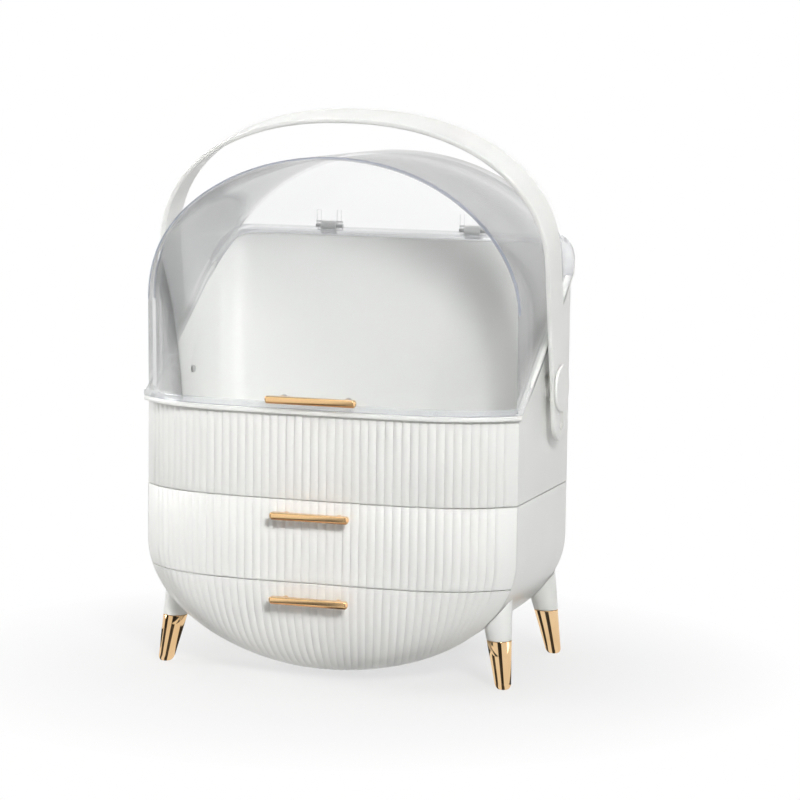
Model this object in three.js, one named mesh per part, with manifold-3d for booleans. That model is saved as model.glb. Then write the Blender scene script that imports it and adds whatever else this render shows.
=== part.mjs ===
// A tabletop makeup organizer: an egg-shaped white cabinet with two reeded drawers under a deep open
// tray, a clear hinged lid, an arched carry handle on slotted pivots, gold bar pulls and gold foot caps.
// Frame: +X right, -Y front, +Z up, origin on the floor under the middle of the overall box.
import * as THREE from "three";
import { mergeVertices } from "three/addons/utils/BufferGeometryUtils.js";
import Module from "manifold-3d";

const wasm = await Module();
wasm.setup();

// Body: an upright oval seen from the front, bowed forward in plan
const body_width = 255;
const body_depth = 167.5;
const bow_depth = 30.3;
const bow_power_share = 4.71;
const back_corner_radius = 22;
const body_bottom_z = 5.3;
const belly_z = 85;
const body_wall = 2.5;

// Heights of the seams and of the slanted rim between tray and lid
const lower_seam_z = 67;
const upper_seam_z = 121;
const rim_front_z = 179.5;
const rim_back_z = 281.5;
const rim_sag = 6.5;
const lip_thickness = 3;
const lip_overhang = 2.4;

// Clear lid: an arched shell whose front leans back to the arch edge
const lid_top_z = 340;
const lid_arch_rise = 96;
const lid_edge_y = -56;
const lid_wall = 2.2;
const flange_thickness = 3.5;

// Reeding on the front: rounded ribs side by side, fading before the corners
const rib_pitch = 5.6;
const rib_depth = 0.8;
const tray_reeded_share = 0.975;
const drawer_reeded_share = 0.945;

// Clearances
const seam_gap = 0.5;
const fit_gap = 0.3;
const slide_gap = 0.5;
const bore_gap = 0.1;
const overrun = 1;
const least_step = 0.5;

// Tray, drawers and their bins
const floor_thickness = 3;
const skirt_depth = 4;
const skirt_wall = 2;
const shelf_thickness = 2.5;
const front_wall = 3;
const bin_wall = 1.8;
const bin_headroom = 5;
const bin_back_room = 6;

// Lid hinges at the back
const hinge_spacing = 104;
const hinge_z = 286;
const hinge_offset = 2.5;
const hinge_barrel_radius = 3.5;
const hinge_knuckle_length = 11;
const hinge_ear_thickness = 3;
const hinge_ear_rise = 11;
const hinge_side_gap = 0.4;
const hinge_pin_radius = 1.5;
const hinge_pin_proud = 1;

// Carry handle: a flat strap bent to an arch, leaning forward at rest
const handle_width = 30;
const handle_thickness = 3.2;
const handle_side_gap = 2.3;
const handle_spring_height = 84;
const handle_arch_rise = 93.4;
const handle_arch_power_share = 2.2;
const handle_tail = 35.6;
const handle_slot_width = 9;
const handle_slot_tail = 28.5;
const handle_lean_degrees = 11.54;
const pivot_y = 17;
const pivot_z = 190;
const pivot_neck_radius = 4.2;
const pivot_boss_radius = 9;
const pivot_cap_radius = 15.5;
const pivot_cap_thickness = 1.8;
const pivot_cap_chamfer = 0.8;
const pivot_screw_radius = 1.5;
const pivot_screw_depth = 4.5;

// Bar pulls and their screws
const pull_thickness = 5;
const pull_standoff = 7.5;
const lid_pull_length = 62;
const drawer_pull_length = 54;
const pull_chamfer = 1;
const pull_post_radius = 2.2;
const pull_post_inset = 9;
const pull_screw_radius = 1.2;
const pull_screw_depth = 4;
const screw_head_radius = 2.6;
const screw_head_height = 1.6;
const upper_pull_drop = 10;
const lower_pull_drop = 11;
const lid_pull_gap = 0.4;

// Legs and foot caps, leaning outward toward the floor
const foot_x = 117.94;
const foot_front_y = -43.3;
const foot_back_y = 78.3;
const foot_flat_radius = 2.5;
const foot_round_height = 4.5;
const foot_bottom_radius = 5.5;
const foot_top_radius = 8.2;
const foot_cap_height = 31;
const foot_cap_wall = 1.2;
const foot_socket_depth = 12;
const foot_splay_x = 4.8;
const foot_splay_y = 5;
const leg_reach = 30;

// Roundness of curved faces
const bow_steps = 20;
const sample_steps = 900;
const corner_steps = 6;
const arch_steps = 28;
const bowl_steps = 7;
const bowl_end_share = 0.975;
const rib_steps = 3;
const rim_steps = 8;
const round_sides = 16;
const cap_sides = 28;
const foot_round_steps = 3;

// Derived places
const half_width = body_width / 2;
const belly_rise = belly_z - body_bottom_z;
const pull_reach = pull_standoff + pull_thickness / 2;
const hinge_reach = hinge_offset + hinge_barrel_radius;
const front_y = (pull_reach - body_depth - hinge_reach) / 2;
const back_y = front_y + body_depth;
const corner_y = front_y + bow_depth;
const lip_outer = half_width + lip_overhang;
const lid_arch_z = lid_top_z - lid_arch_rise;
const hinge_y = back_y + hinge_offset;
const handle_inner = lip_outer + handle_side_gap;
const handle_outer = handle_inner + handle_thickness;
const handle_lean = THREE.MathUtils.degToRad(handle_lean_degrees);
const cap_start = handle_outer + fit_gap;
const tray_floor_z = upper_seam_z + seam_gap / 2 + floor_thickness;
const shelf_low_z = lower_seam_z - shelf_thickness / 2;
const shelf_high_z = lower_seam_z + shelf_thickness / 2;
const bin_inset = front_wall + fit_gap;
const bin_back_y = back_y - body_wall - bin_back_room;
const upper_pull_z = upper_seam_z - upper_pull_drop;
const lower_pull_z = lower_seam_z - lower_pull_drop;
const lid_pull_z = rim_front_z + fit_gap + flange_thickness + lid_pull_gap + pull_post_radius;
const sides = [
  ["left", -1],
  ["right", 1],
];

// A solid made from a three.js geometry
function solid(geometry) {
  const bare = geometry.index ? geometry.toNonIndexed() : geometry.clone();
  bare.deleteAttribute("normal");
  bare.deleteAttribute("uv");
  const merged = mergeVertices(bare);
  return new wasm.Manifold(
    new wasm.Mesh({
      numProp: 3,
      vertProperties: new Float32Array(merged.attributes.position.array),
      triVerts: new Uint32Array(merged.index.array),
    }),
  );
}

function geometryOf(made) {
  const mesh = made.getMesh();
  const geometry = new THREE.BufferGeometry();
  geometry.setAttribute("position", new THREE.BufferAttribute(mesh.vertProperties, 3));
  geometry.setIndex(new THREE.BufferAttribute(mesh.triVerts, 1));
  geometry.computeVertexNormals();
  return geometry;
}

function extrusion(points, depth) {
  const shape = new THREE.Shape(points.map(([a, b]) => new THREE.Vector2(a, b)));
  return new THREE.ExtrudeGeometry(shape, { depth, bevelEnabled: false, steps: 1 });
}

// A prism along Y with a front-view outline (x, z), between two depths
function alongY(points, front, back) {
  return solid(extrusion(points, back - front).rotateX(Math.PI / 2).translate(0, back, 0));
}

// A prism along X with a side-view outline (y, z), between two widths
function alongX(points, left, right) {
  const turn = new THREE.Matrix4().makeBasis(
    new THREE.Vector3(0, 1, 0),
    new THREE.Vector3(0, 0, 1),
    new THREE.Vector3(1, 0, 0),
  );
  return solid(extrusion(points, right - left).applyMatrix4(turn).translate(left, 0, 0));
}

function box([x0, x1], [y0, y1], [z0, z1]) {
  const geometry = new THREE.BoxGeometry(x1 - x0, y1 - y0, z1 - z0);
  return solid(geometry.translate((x0 + x1) / 2, (y0 + y1) / 2, (z0 + z1) / 2));
}

// A rod along X between two widths at a place (y, z)
function rodX(radius, [from, to], [y, z]) {
  const geometry = new THREE.CylinderGeometry(radius, radius, Math.abs(to - from), round_sides);
  return solid(geometry.rotateZ(-Math.PI / 2).translate((from + to) / 2, y, z));
}

// A rod along Y between two depths at a place (x, z)
function rodY(radius, [from, to], [x, z]) {
  const geometry = new THREE.CylinderGeometry(radius, radius, Math.abs(to - from), round_sides);
  return solid(geometry.translate(x, (from + to) / 2, z));
}

// A closed solid through stacked rings of equal point counts, its ends fanned from their middles
function loft(rings) {
  const positions = [];
  const triangle = (a, b, c) => positions.push(...a, ...b, ...c);
  const middle = (ring) => {
    const depths = ring.map((point) => point[1]);
    return [0, (Math.min(...depths) + Math.max(...depths)) / 2, ring[0][2]];
  };
  const low = rings[0];
  const high = rings[rings.length - 1];
  low.forEach((point, i) => {
    const j = (i + 1) % low.length;
    triangle(middle(low), low[j], point);
    triangle(middle(high), high[i], high[j]);
    for (let k = 0; k + 1 < rings.length; k++) {
      triangle(rings[k][i], rings[k][j], rings[k + 1][j]);
      triangle(rings[k][i], rings[k + 1][j], rings[k + 1][i]);
    }
  });
  const geometry = new THREE.BufferGeometry();
  geometry.setAttribute("position", new THREE.Float32BufferAttribute(positions, 3));
  return solid(geometry);
}

// How far the front bow stands ahead of the corner plane, at a share of the half width
function bowAt(share) {
  return bow_depth * (1 - Math.abs(share) ** bow_power_share);
}

// Half the body's width at a height: full above the belly line, a half ellipse below it
function halfAt(z, inset) {
  const half = half_width - inset;
  const drop = Math.max(belly_z - z, 0) / (belly_rise - inset);
  return half * Math.sqrt(1 - drop * drop);
}

// Share of the bow left at a height: full above the lower seam, shrinking round the bowl below it
function bowlShare(z, inset) {
  const drop = Math.max(lower_seam_z - z, 0) / (lower_seam_z - body_bottom_z - inset);
  return Math.sqrt(1 - drop * drop);
}

// The foremost line of the body at a height
function frontY(z, inset) {
  return corner_y - (bow_depth - inset) * bowlShare(z, inset);
}

// Places across the bow as [share, groove depth], closer together toward the corners
function plainStations() {
  return Array.from({ length: bow_steps + 1 }, (_, i) => [
    Math.sin((i / bow_steps - 1 / 2) * Math.PI),
    0,
  ]);
}

// The same with ribs of equal length along the bow between the plain corners
function reededStations(reeded_share) {
  const table = [];
  let length = 0;
  for (let i = 0; i <= sample_steps; i++) {
    const share = reeded_share * ((2 * i) / sample_steps - 1);
    const step = (2 * reeded_share * half_width) / sample_steps;
    const rise = table.length ? bowAt(share) - bowAt(table[i - 1].share) : 0;
    length += table.length ? Math.hypot(step, rise) : 0;
    table.push({ share, length });
  }
  const count = Math.round(length / rib_pitch);
  const stations = plainStations().filter(([share]) => share < -reeded_share);
  for (let i = 0; i <= count * rib_steps; i++) {
    const along = (i * length) / (count * rib_steps);
    const found = table.find((entry) => entry.length >= along - least_step / sample_steps);
    const crown = (2 * (i % rib_steps)) / rib_steps - 1;
    stations.push([found.share, rib_depth * crown * crown]);
  }
  return stations.concat(plainStations().filter(([share]) => share > reeded_share));
}

// The back of a plan outline, from the right side round to the left, corners rounded
function backLine(half, inset, z) {
  const radius = back_corner_radius - inset;
  const points = [];
  for (let i = 0; i <= corner_steps; i++) {
    const angle = ((i / corner_steps) * Math.PI) / 2;
    const x = half - radius * (1 - Math.cos(angle)) * (half / (half_width - inset));
    points.push([x, back_y - inset - radius * (1 - Math.sin(angle)), z]);
  }
  return points.concat(points.map(([x, y]) => [-x, y, z]).reverse());
}

// The body's plan outline at a height, moved in by an inset
function bodyRing(z, inset, stations) {
  const half = halfAt(z, inset);
  const bowl = bowlShare(z, inset);
  const place = (share) => [half * share, corner_y + (inset - bowAt(share)) * bowl];
  const front = stations.map(([share, groove]) => {
    const [x, y] = place(share);
    const [x0, y0] = place(share - least_step / half_width);
    const [x1, y1] = place(share + least_step / half_width);
    const deep = (groove * half) / half_width / Math.hypot(x1 - x0, y1 - y0);
    const lift = (groove * half * Math.sqrt(1 - bowl * bowl)) / half_width;
    return [x - deep * (y1 - y0) * bowl, y + deep * (x1 - x0) * bowl, z + lift];
  });
  return front.concat(backLine(half, inset, z));
}

// The body between two heights, moved in by an inset
function body(low, high, inset, stations = plainStations()) {
  const bottom = body_bottom_z + inset;
  const levels = [belly_z, (belly_z + lower_seam_z) / 2];
  for (let k = 0; k <= bowl_steps; k++) {
    const turn = ((k / bowl_steps) * bowl_end_share * Math.PI) / 2;
    levels.push(lower_seam_z - (lower_seam_z - bottom) * Math.sin(turn));
  }
  const start = Math.max(low, Math.min(...levels));
  const inside = levels.filter((z) => z > start + least_step / 2 && z < high - least_step / 2);
  const heights = [start, ...inside.sort((a, b) => a - b), high];
  return loft(heights.map((z) => bodyRing(z, inset, stations)));
}

// The part of a solid ahead of or behind a plane across Y
function aheadOf(y) {
  return box([-handle_outer, handle_outer], [2 * front_y, y], [0, 2 * lid_top_z]);
}

function behind(y) {
  return box([-handle_outer, handle_outer], [y, 2 * back_y], [0, 2 * lid_top_z]);
}

// Side-view line of the rim: level along the bow, then rising to the back with a slight sag
function rimLine(offset) {
  const points = [[2 * front_y, rim_front_z + offset]];
  for (let i = 0; i <= rim_steps; i++) {
    const share = i / rim_steps;
    const rise = (rim_back_z - rim_front_z) * share - 4 * rim_sag * share * (1 - share);
    points.push([corner_y + (back_y - corner_y) * share, rim_front_z + rise + offset]);
  }
  points.push([2 * back_y, rim_back_z + offset]);
  return points;
}

function beyondRim(offset, far_z) {
  const points = rimLine(offset).concat([
    [2 * back_y, far_z],
    [2 * front_y, far_z],
  ]);
  return alongX(points, -handle_outer, handle_outer);
}

const aboveRim = (offset) => beyondRim(offset, 2 * lid_top_z);
const belowRim = (offset) => beyondRim(offset, 0);

// The lid's plan outline at a height: its front leans back from the bow to the arch edge
function lidFrontAt(share, z) {
  const lean_share = (z - rim_front_z) / (lid_top_z - rim_front_z);
  const bow_y = corner_y - bowAt(share);
  return bow_y + (lid_edge_y - bow_y) * lean_share;
}

function lidRing(z, inset) {
  const half = half_width - inset;
  const front = plainStations().map(([share]) => [half * share, lidFrontAt(share, z) + inset, z]);
  return front.concat(backLine(half, inset, z));
}

// A front-view arch on straight sides: a half ellipse, or fuller than one above a power of 2
function archOutline(half, spring_z, rise, low_z, power_share = 2) {
  const points = [
    [-half, low_z],
    [half, low_z],
  ];
  for (let i = 0; i <= arch_steps; i++) {
    const angle = (i / arch_steps) * Math.PI;
    const [c, s] = [Math.cos(angle), Math.sin(angle)];
    const across = Math.sign(c) * Math.abs(c) ** (2 / power_share);
    points.push([half * across, spring_z + rise * Math.abs(s) ** (2 / power_share)]);
  }
  return points;
}

function lidSolid(inset) {
  const low_z = rim_front_z - overrun;
  const stack = loft([lidRing(low_z, inset), lidRing(lid_top_z + overrun, inset)]);
  const arch = archOutline(half_width - inset, lid_arch_z, lid_arch_rise - inset, low_z - overrun);
  return stack.intersect(alongY(arch, 2 * front_y, 2 * back_y));
}

// Places of the three pulls: length, height, and the wall layers that their screws pass
const pulls = {
  lid: { length: lid_pull_length, z: lid_pull_z },
  upper: { length: drawer_pull_length, z: upper_pull_z },
  lower: { length: drawer_pull_length, z: lower_pull_z },
};

function screwHoles({ length, z }) {
  const reach = length / 2 - pull_post_inset;
  const span = [front_y - fit_gap - pull_screw_depth - fit_gap, corner_y];
  const [left, right] = [-reach, reach].map((x) => rodY(pull_screw_radius + bore_gap, span, [x, z]));
  return left.add(right);
}

// A bar on two posts, the posts cut to stand just off the face behind them
function pull({ length, z }, face) {
  const half = length / 2;
  const half_high = pull_thickness / 2;
  const outline = [
    [-half + pull_chamfer, z - half_high],
    [half - pull_chamfer, z - half_high],
    [half, z - half_high + pull_chamfer],
    [half, z + half_high - pull_chamfer],
    [half - pull_chamfer, z + half_high],
    [-half + pull_chamfer, z + half_high],
    [-half, z + half_high - pull_chamfer],
    [-half, z - half_high + pull_chamfer],
  ];
  const bar_y = front_y - pull_standoff;
  const bar = alongY(outline, bar_y - half_high, bar_y + half_high);
  const posts = [-1, 1].map((side) => {
    const x = side * (half - pull_post_inset);
    return rodY(pull_post_radius, [bar_y, front_y + body_wall], [x, z]);
  });
  return bar.add(posts[0]).add(posts[1]).subtract(face).subtract(screwHoles({ length, z }));
}

function pullScrew({ length, z }, side, head_y) {
  const place = [side * (length / 2 - pull_post_inset), z];
  const tip = front_y - fit_gap - pull_screw_depth;
  const shaft = rodY(pull_screw_radius, [tip, head_y + screw_head_height / 2], place);
  return shaft.add(rodY(screw_head_radius, [head_y, head_y + screw_head_height], place));
}

// A drawer bay with its walls carried straight on past the mouth
function bay(low, high) {
  const inside = body(low, high, body_wall);
  return inside.add(inside.translate([0, -bin_inset - body_wall, 0]));
}

// Cabinet: an open-fronted shell with a shelf between the two drawer bays
function cabinet() {
  const outer = body(body_bottom_z, upper_seam_z - seam_gap / 2, 0);
  const upper_bay = bay(shelf_high_z, upper_seam_z + overrun);
  const lower_bay = bay(body_bottom_z, shelf_low_z);
  const shell = outer.subtract(upper_bay).subtract(lower_bay);
  return shell.intersect(behind(corner_y + fit_gap / 2));
}

// Places of the hinge knuckles and ears along X, for a hinge centred at a width
const knuckleSpan = (x, margin) => [
  x - hinge_knuckle_length / 2 - margin,
  x + hinge_knuckle_length / 2 + margin,
];

function pinHole(x) {
  const reach = hinge_side_gap + hinge_ear_thickness + overrun;
  return rodX(hinge_pin_radius + bore_gap, knuckleSpan(x, reach), [hinge_y, hinge_z]);
}

// Tray: reeded walls with a slanted lip, a floor, a locating skirt, pivot bosses and hinge knuckles
function tray() {
  const low_z = upper_seam_z + seam_gap / 2;
  const wall = body(low_z, rim_back_z + overrun, 0, reededStations(tray_reeded_share));
  const lip = body(low_z, rim_back_z + overrun, -lip_overhang).intersect(aboveRim(-lip_thickness));
  const cavity = body(tray_floor_z, rim_back_z + 2 * overrun, body_wall);
  let made = wall.add(lip).intersect(belowRim(0)).subtract(cavity);
  const skirt = body(low_z - skirt_depth, low_z + overrun, body_wall + fit_gap)
    .subtract(body(low_z - skirt_depth - overrun, low_z + 2 * overrun, body_wall + fit_gap + skirt_wall))
    .intersect(behind(corner_y + bin_inset));
  made = made.add(skirt);
  for (const [, side] of sides) {
    const boss = [side * (half_width - body_wall / 2), side * lip_outer];
    const bore = [side * (half_width - body_wall - overrun), side * (lip_outer + overrun)];
    made = made
      .add(rodX(pivot_boss_radius, boss, [pivot_y, pivot_z]))
      .subtract(rodX(pivot_screw_radius + bore_gap, bore, [pivot_y, pivot_z]));
    const x = (side * hinge_spacing) / 2;
    const base_y = [back_y + fit_gap, hinge_y + hinge_barrel_radius / 2];
    made = made
      .add(rodX(hinge_barrel_radius, knuckleSpan(x, 0), [hinge_y, hinge_z]))
      .add(box(knuckleSpan(x, 0), base_y, [rim_back_z - lip_thickness / 2, hinge_z]))
      .subtract(pinHole(x));
  }
  return made;
}

// Lid: clear arched shell with a rim flange and paired hinge ears
function lid() {
  const band = body(rim_front_z - overrun, lid_top_z, -lip_overhang);
  const flange_top = fit_gap + flange_thickness;
  const shell = lidSolid(0).add(band.intersect(belowRim(flange_top)));
  let made = shell.intersect(aboveRim(fit_gap)).subtract(lidSolid(lid_wall));
  made = made.subtract(screwHoles(pulls.lid));
  for (const [, side] of sides) {
    const x = (side * hinge_spacing) / 2;
    const notch = knuckleSpan(x, hinge_side_gap);
    made = made
      .subtract(box(notch, [back_y, 2 * back_y], [rim_back_z, hinge_z + hinge_barrel_radius]))
      .subtract(rodX(hinge_barrel_radius + hinge_side_gap, notch, [hinge_y, hinge_z]));
    for (const [, end] of sides) {
      const near = x + end * (hinge_knuckle_length / 2 + hinge_side_gap);
      const span = [near, near + end * hinge_ear_thickness].sort((a, b) => a - b);
      const ear_z = [hinge_z, hinge_z + hinge_ear_rise];
      made = made
        .add(rodX(hinge_barrel_radius, span, [hinge_y, hinge_z]))
        .add(box(span, [back_y - lid_wall / 2, hinge_y], ear_z));
    }
    made = made.subtract(pinHole(x));
  }
  return made;
}

// Drawer fronts: reeded panels bent round the bow, the lower one rounding under as a bowl
function drawerFront(low, high, at) {
  return body(low, high + overrun, 0, reededStations(drawer_reeded_share))
    .subtract(body(low - overrun, high + 2 * overrun, front_wall))
    .intersect(box([-half_width, half_width], [2 * front_y, corner_y - fit_gap / 2], [0, high]))
    .subtract(screwHoles(at));
}

// Drawer bins: open-topped liners behind the fronts
function drawerBin(low, high, at) {
  const cut = aheadOf(bin_back_y);
  const outer = body(low, high, bin_inset).intersect(cut);
  const inner_low = Math.max(low, body_bottom_z + bin_inset) + bin_wall;
  const inner = body(inner_low, high + overrun, bin_inset + bin_wall).intersect(
    aheadOf(bin_back_y - bin_wall),
  );
  return outer.subtract(inner).subtract(screwHoles(at));
}

// Carry handle, built upright about its pivot and then leaned forward
function handle() {
  const half = handle_width / 2;
  const outer_arch = archOutline(
    handle_outer,
    handle_spring_height,
    handle_arch_rise + handle_thickness,
    -handle_tail,
    handle_arch_power_share,
  );
  const inner_arch = archOutline(
    handle_inner,
    handle_spring_height,
    handle_arch_rise,
    -handle_tail - overrun,
    handle_arch_power_share,
  );
  const side = [];
  const slot = [];
  const slot_half = handle_slot_width / 2;
  for (let i = 0; i <= round_sides; i++) {
    const angle = -Math.PI + (i / round_sides) * Math.PI;
    const [c, s] = [Math.cos(angle), Math.sin(angle)];
    side.push([half * c, -handle_tail + half + half * s]);
    slot.push([slot_half * c, -handle_slot_tail + slot_half + slot_half * s]);
  }
  slot.push(...slot.map(([y, z]) => [-y, handle_slot_width - handle_slot_tail - z]));
  side.push([half, handle_outer * 2], [-half, handle_outer * 2]);
  const made = alongY(outer_arch, -half, half)
    .subtract(alongY(inner_arch, -handle_width, handle_width))
    .intersect(alongX(side, -handle_outer - overrun, handle_outer + overrun))
    .subtract(alongX(slot, -handle_outer - overrun, handle_outer + overrun));
  return geometryOf(made).rotateX(handle_lean).translate(0, pivot_y, pivot_z);
}

// A lathe profile [radius, distance] turned about X, outward from the middle on one side
function turnedX(profile, side, sides_count) {
  const points = profile.map(([radius, distance]) => new THREE.Vector2(radius, distance));
  const geometry = new THREE.LatheGeometry(points, sides_count).rotateZ((-side * Math.PI) / 2);
  return geometry.translate(0, pivot_y, pivot_z);
}

function pivotCap(side) {
  const neck_start = lip_outer + fit_gap;
  const bore_end = neck_start + pivot_screw_depth + fit_gap;
  const bore_radius = pivot_screw_radius + bore_gap;
  const cap_end = cap_start + pivot_cap_thickness;
  const profile = [
    [0, bore_end],
    [bore_radius, bore_end],
    [bore_radius, neck_start],
    [pivot_neck_radius, neck_start],
    [pivot_neck_radius, cap_start],
    [pivot_cap_radius, cap_start],
    [pivot_cap_radius, cap_end - pivot_cap_chamfer],
    [pivot_cap_radius - pivot_cap_chamfer, cap_end],
    [0, cap_end],
  ];
  return geometryOf(solid(turnedX(profile, side, cap_sides)));
}

function pivotScrew(side) {
  const head_end = half_width - body_wall - fit_gap;
  const tip = lip_outer + fit_gap + pivot_screw_depth;
  const profile = [
    [0, head_end - screw_head_height],
    [screw_head_radius, head_end - screw_head_height],
    [screw_head_radius, head_end],
    [pivot_screw_radius, head_end],
    [pivot_screw_radius, tip],
    [0, tip],
  ];
  return geometryOf(solid(turnedX(profile, side, round_sides)));
}

// Radius of a foot's outside at a height
function footRadius(z) {
  const share = (z - foot_round_height) / (foot_cap_height - foot_round_height);
  return foot_bottom_radius + (foot_top_radius - foot_bottom_radius) * share;
}

// A lathe profile [radius, z] sheared outward toward the floor at a foot
function splayed(profile, side, front) {
  const points = profile.map(([radius, z]) => new THREE.Vector2(radius, z));
  const shear = new THREE.Matrix4().set(
    ...[1, 0, (-side * foot_splay_x) / foot_cap_height, side * foot_x],
    ...[0, 1, (-front * foot_splay_y) / foot_cap_height, front < 0 ? foot_front_y : foot_back_y],
    ...[0, 0, 1, 0],
    ...[0, 0, 0, 1],
  );
  const turned = new THREE.LatheGeometry(points, round_sides).rotateX(Math.PI / 2);
  return turned.applyMatrix4(shear);
}

function footCap(side, front) {
  const profile = [[0, 0]];
  for (let i = 0; i <= foot_round_steps; i++) {
    const angle = ((i / foot_round_steps) * Math.PI) / 2;
    profile.push([
      foot_flat_radius + (foot_bottom_radius - foot_flat_radius) * Math.sin(angle),
      foot_round_height * (1 - Math.cos(angle)),
    ]);
  }
  const socket_z = foot_cap_height - foot_socket_depth;
  profile.push([foot_top_radius, foot_cap_height]);
  profile.push([foot_top_radius - foot_cap_wall, foot_cap_height]);
  profile.push([footRadius(socket_z) - foot_cap_wall, socket_z]);
  profile.push([0, socket_z]);
  return geometryOf(solid(splayed(profile, side, front)));
}

function leg(side, front) {
  const spigot_z = foot_cap_height - foot_socket_depth + fit_gap;
  const shoulder_z = foot_cap_height + fit_gap;
  const top_z = foot_cap_height + leg_reach;
  const profile = [
    [0, spigot_z],
    [footRadius(spigot_z) - foot_cap_wall - fit_gap, spigot_z],
    [footRadius(shoulder_z) - foot_cap_wall - fit_gap, shoulder_z],
    [footRadius(shoulder_z), shoulder_z],
    [footRadius(top_z), top_z],
    [0, top_z],
  ];
  const shape = solid(splayed(profile, side, front));
  return geometryOf(shape.subtract(body(body_bottom_z, upper_seam_z, -fit_gap)));
}

function hingePin(side) {
  const reach = hinge_side_gap + hinge_ear_thickness + hinge_pin_proud;
  const x = (side * hinge_spacing) / 2;
  return geometryOf(rodX(hinge_pin_radius, knuckleSpan(x, reach), [hinge_y, hinge_z]));
}

// Finishes
const finishes = {
  white: { color: 0xf1ebe2, roughness: 0.32, metalness: 0 },
  clear: { color: 0xdfe6ea, roughness: 0.08, metalness: 0, transparent: true, opacity: 0.35 },
  gold: { color: 0xd9a066, roughness: 0.28, metalness: 1 },
  steel: { color: 0xc4c4c2, roughness: 0.35, metalness: 1 },
};

const group = new THREE.Group();

function add(name, geometry, finish) {
  const mesh = new THREE.Mesh(geometry, new THREE.MeshStandardMaterial(finishes[finish]));
  mesh.name = name;
  group.add(mesh);
}

const front_gap = seam_gap / 2;
const upper_range = [lower_seam_z + front_gap, upper_seam_z - front_gap];
const lower_range = [body_bottom_z, lower_seam_z - front_gap];
const body_face = body(body_bottom_z, upper_seam_z + overrun, -fit_gap);

add("cabinet_shell", geometryOf(cabinet()), "white");
add("upper_tray", geometryOf(tray()), "white");
add("drawer_upper_front", geometryOf(drawerFront(...upper_range, pulls.upper)), "white");
add("drawer_lower_front", geometryOf(drawerFront(...lower_range, pulls.lower)), "white");
const upper_bin_range = [shelf_high_z + slide_gap, upper_seam_z - bin_headroom];
const lower_bin_range = [body_bottom_z, shelf_low_z - bin_headroom];
add("drawer_upper_bin", geometryOf(drawerBin(...upper_bin_range, pulls.upper)), "white");
add("drawer_lower_bin", geometryOf(drawerBin(...lower_bin_range, pulls.lower)), "white");
add("lid_shell", geometryOf(lid()), "clear");
add("lid_pull", geometryOf(pull(pulls.lid, lidSolid(-fit_gap))), "gold");
add("upper_pull", geometryOf(pull(pulls.upper, body_face)), "gold");
add("lower_pull", geometryOf(pull(pulls.lower, body_face)), "gold");
add("carry_handle", handle(), "white");

const head_low = lidFrontAt(0, lid_pull_z + screw_head_radius) + lid_wall + fit_gap;
for (const [name, side] of sides) {
  add("hinge_pin_" + name, hingePin(side), "steel");
  add("pivot_cap_" + name, pivotCap(side), "white");
  add("pivot_screw_" + name, pivotScrew(side), "steel");
  add("lid_pull_screw_" + name, geometryOf(pullScrew(pulls.lid, side, head_low)), "steel");
  for (const row of ["upper", "lower"]) {
    const at = pulls[row];
    const head_y = frontY(at.z - screw_head_radius, bin_inset + bin_wall) + fit_gap;
    add(row + "_pull_screw_" + name, geometryOf(pullScrew(at, side, head_y)), "steel");
  }
  for (const [place, front] of [
    ["front", -1],
    ["back", 1],
  ]) {
    add("leg_" + place + "_" + name, leg(side, front), "white");
    add("foot_cap_" + place + "_" + name, footCap(side, front), "gold");
  }
}

export default group;
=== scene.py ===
"""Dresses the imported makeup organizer: reeded white shells, a clear lid, a carry handle and gold trim."""
import logging
import math
from dataclasses import dataclass
from enum import Enum

import bmesh
import bpy
import numpy as np
from mathutils import Matrix, Vector


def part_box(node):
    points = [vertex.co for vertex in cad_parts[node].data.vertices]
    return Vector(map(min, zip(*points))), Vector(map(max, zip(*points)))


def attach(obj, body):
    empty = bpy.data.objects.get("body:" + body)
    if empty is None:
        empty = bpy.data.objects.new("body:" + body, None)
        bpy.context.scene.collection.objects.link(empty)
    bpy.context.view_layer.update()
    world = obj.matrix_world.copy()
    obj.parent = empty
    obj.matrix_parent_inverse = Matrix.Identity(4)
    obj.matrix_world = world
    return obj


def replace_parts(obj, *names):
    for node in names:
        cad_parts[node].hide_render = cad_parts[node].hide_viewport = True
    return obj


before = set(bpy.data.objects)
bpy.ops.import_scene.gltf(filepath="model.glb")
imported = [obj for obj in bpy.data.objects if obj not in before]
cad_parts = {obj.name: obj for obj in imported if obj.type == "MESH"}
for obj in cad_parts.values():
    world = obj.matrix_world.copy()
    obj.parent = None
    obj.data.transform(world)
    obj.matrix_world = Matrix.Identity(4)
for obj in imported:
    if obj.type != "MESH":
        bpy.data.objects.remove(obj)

LOG = logging.getLogger("organizer")
MM = 0.001
WELD = 2e-6
TINY = 1e-6
SIDES = (("left", -1), ("right", 1))
WHITE = (1.0, 1.0, 1.0, 1.0)
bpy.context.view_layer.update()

# How far cuts pass through what they cut, and half the width of wedges through the body, in millimetres
OVERRUN = 1.0
WEDGE_HALF = 150.0

# Where the middle ring of a rounded edge lies, as a share of the edge
ROUND_SHARE = 0.3


class Cap(Enum):
    """How the two ends of a loft are closed."""

    NONE = "none"
    FACE = "face"
    STRIP = "strip"


class Cut(Enum):
    """How one closed solid changes another."""

    REMOVE = "DIFFERENCE"
    JOIN = "UNION"
    KEEP = "INTERSECT"


class Slot(Enum):
    """Material slots of the record."""

    WHITE = "white_plastic"
    CLEAR = "clear_plastic"
    GOLD = "gold_metal"
    STEEL = "steel"


# Meshes


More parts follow.
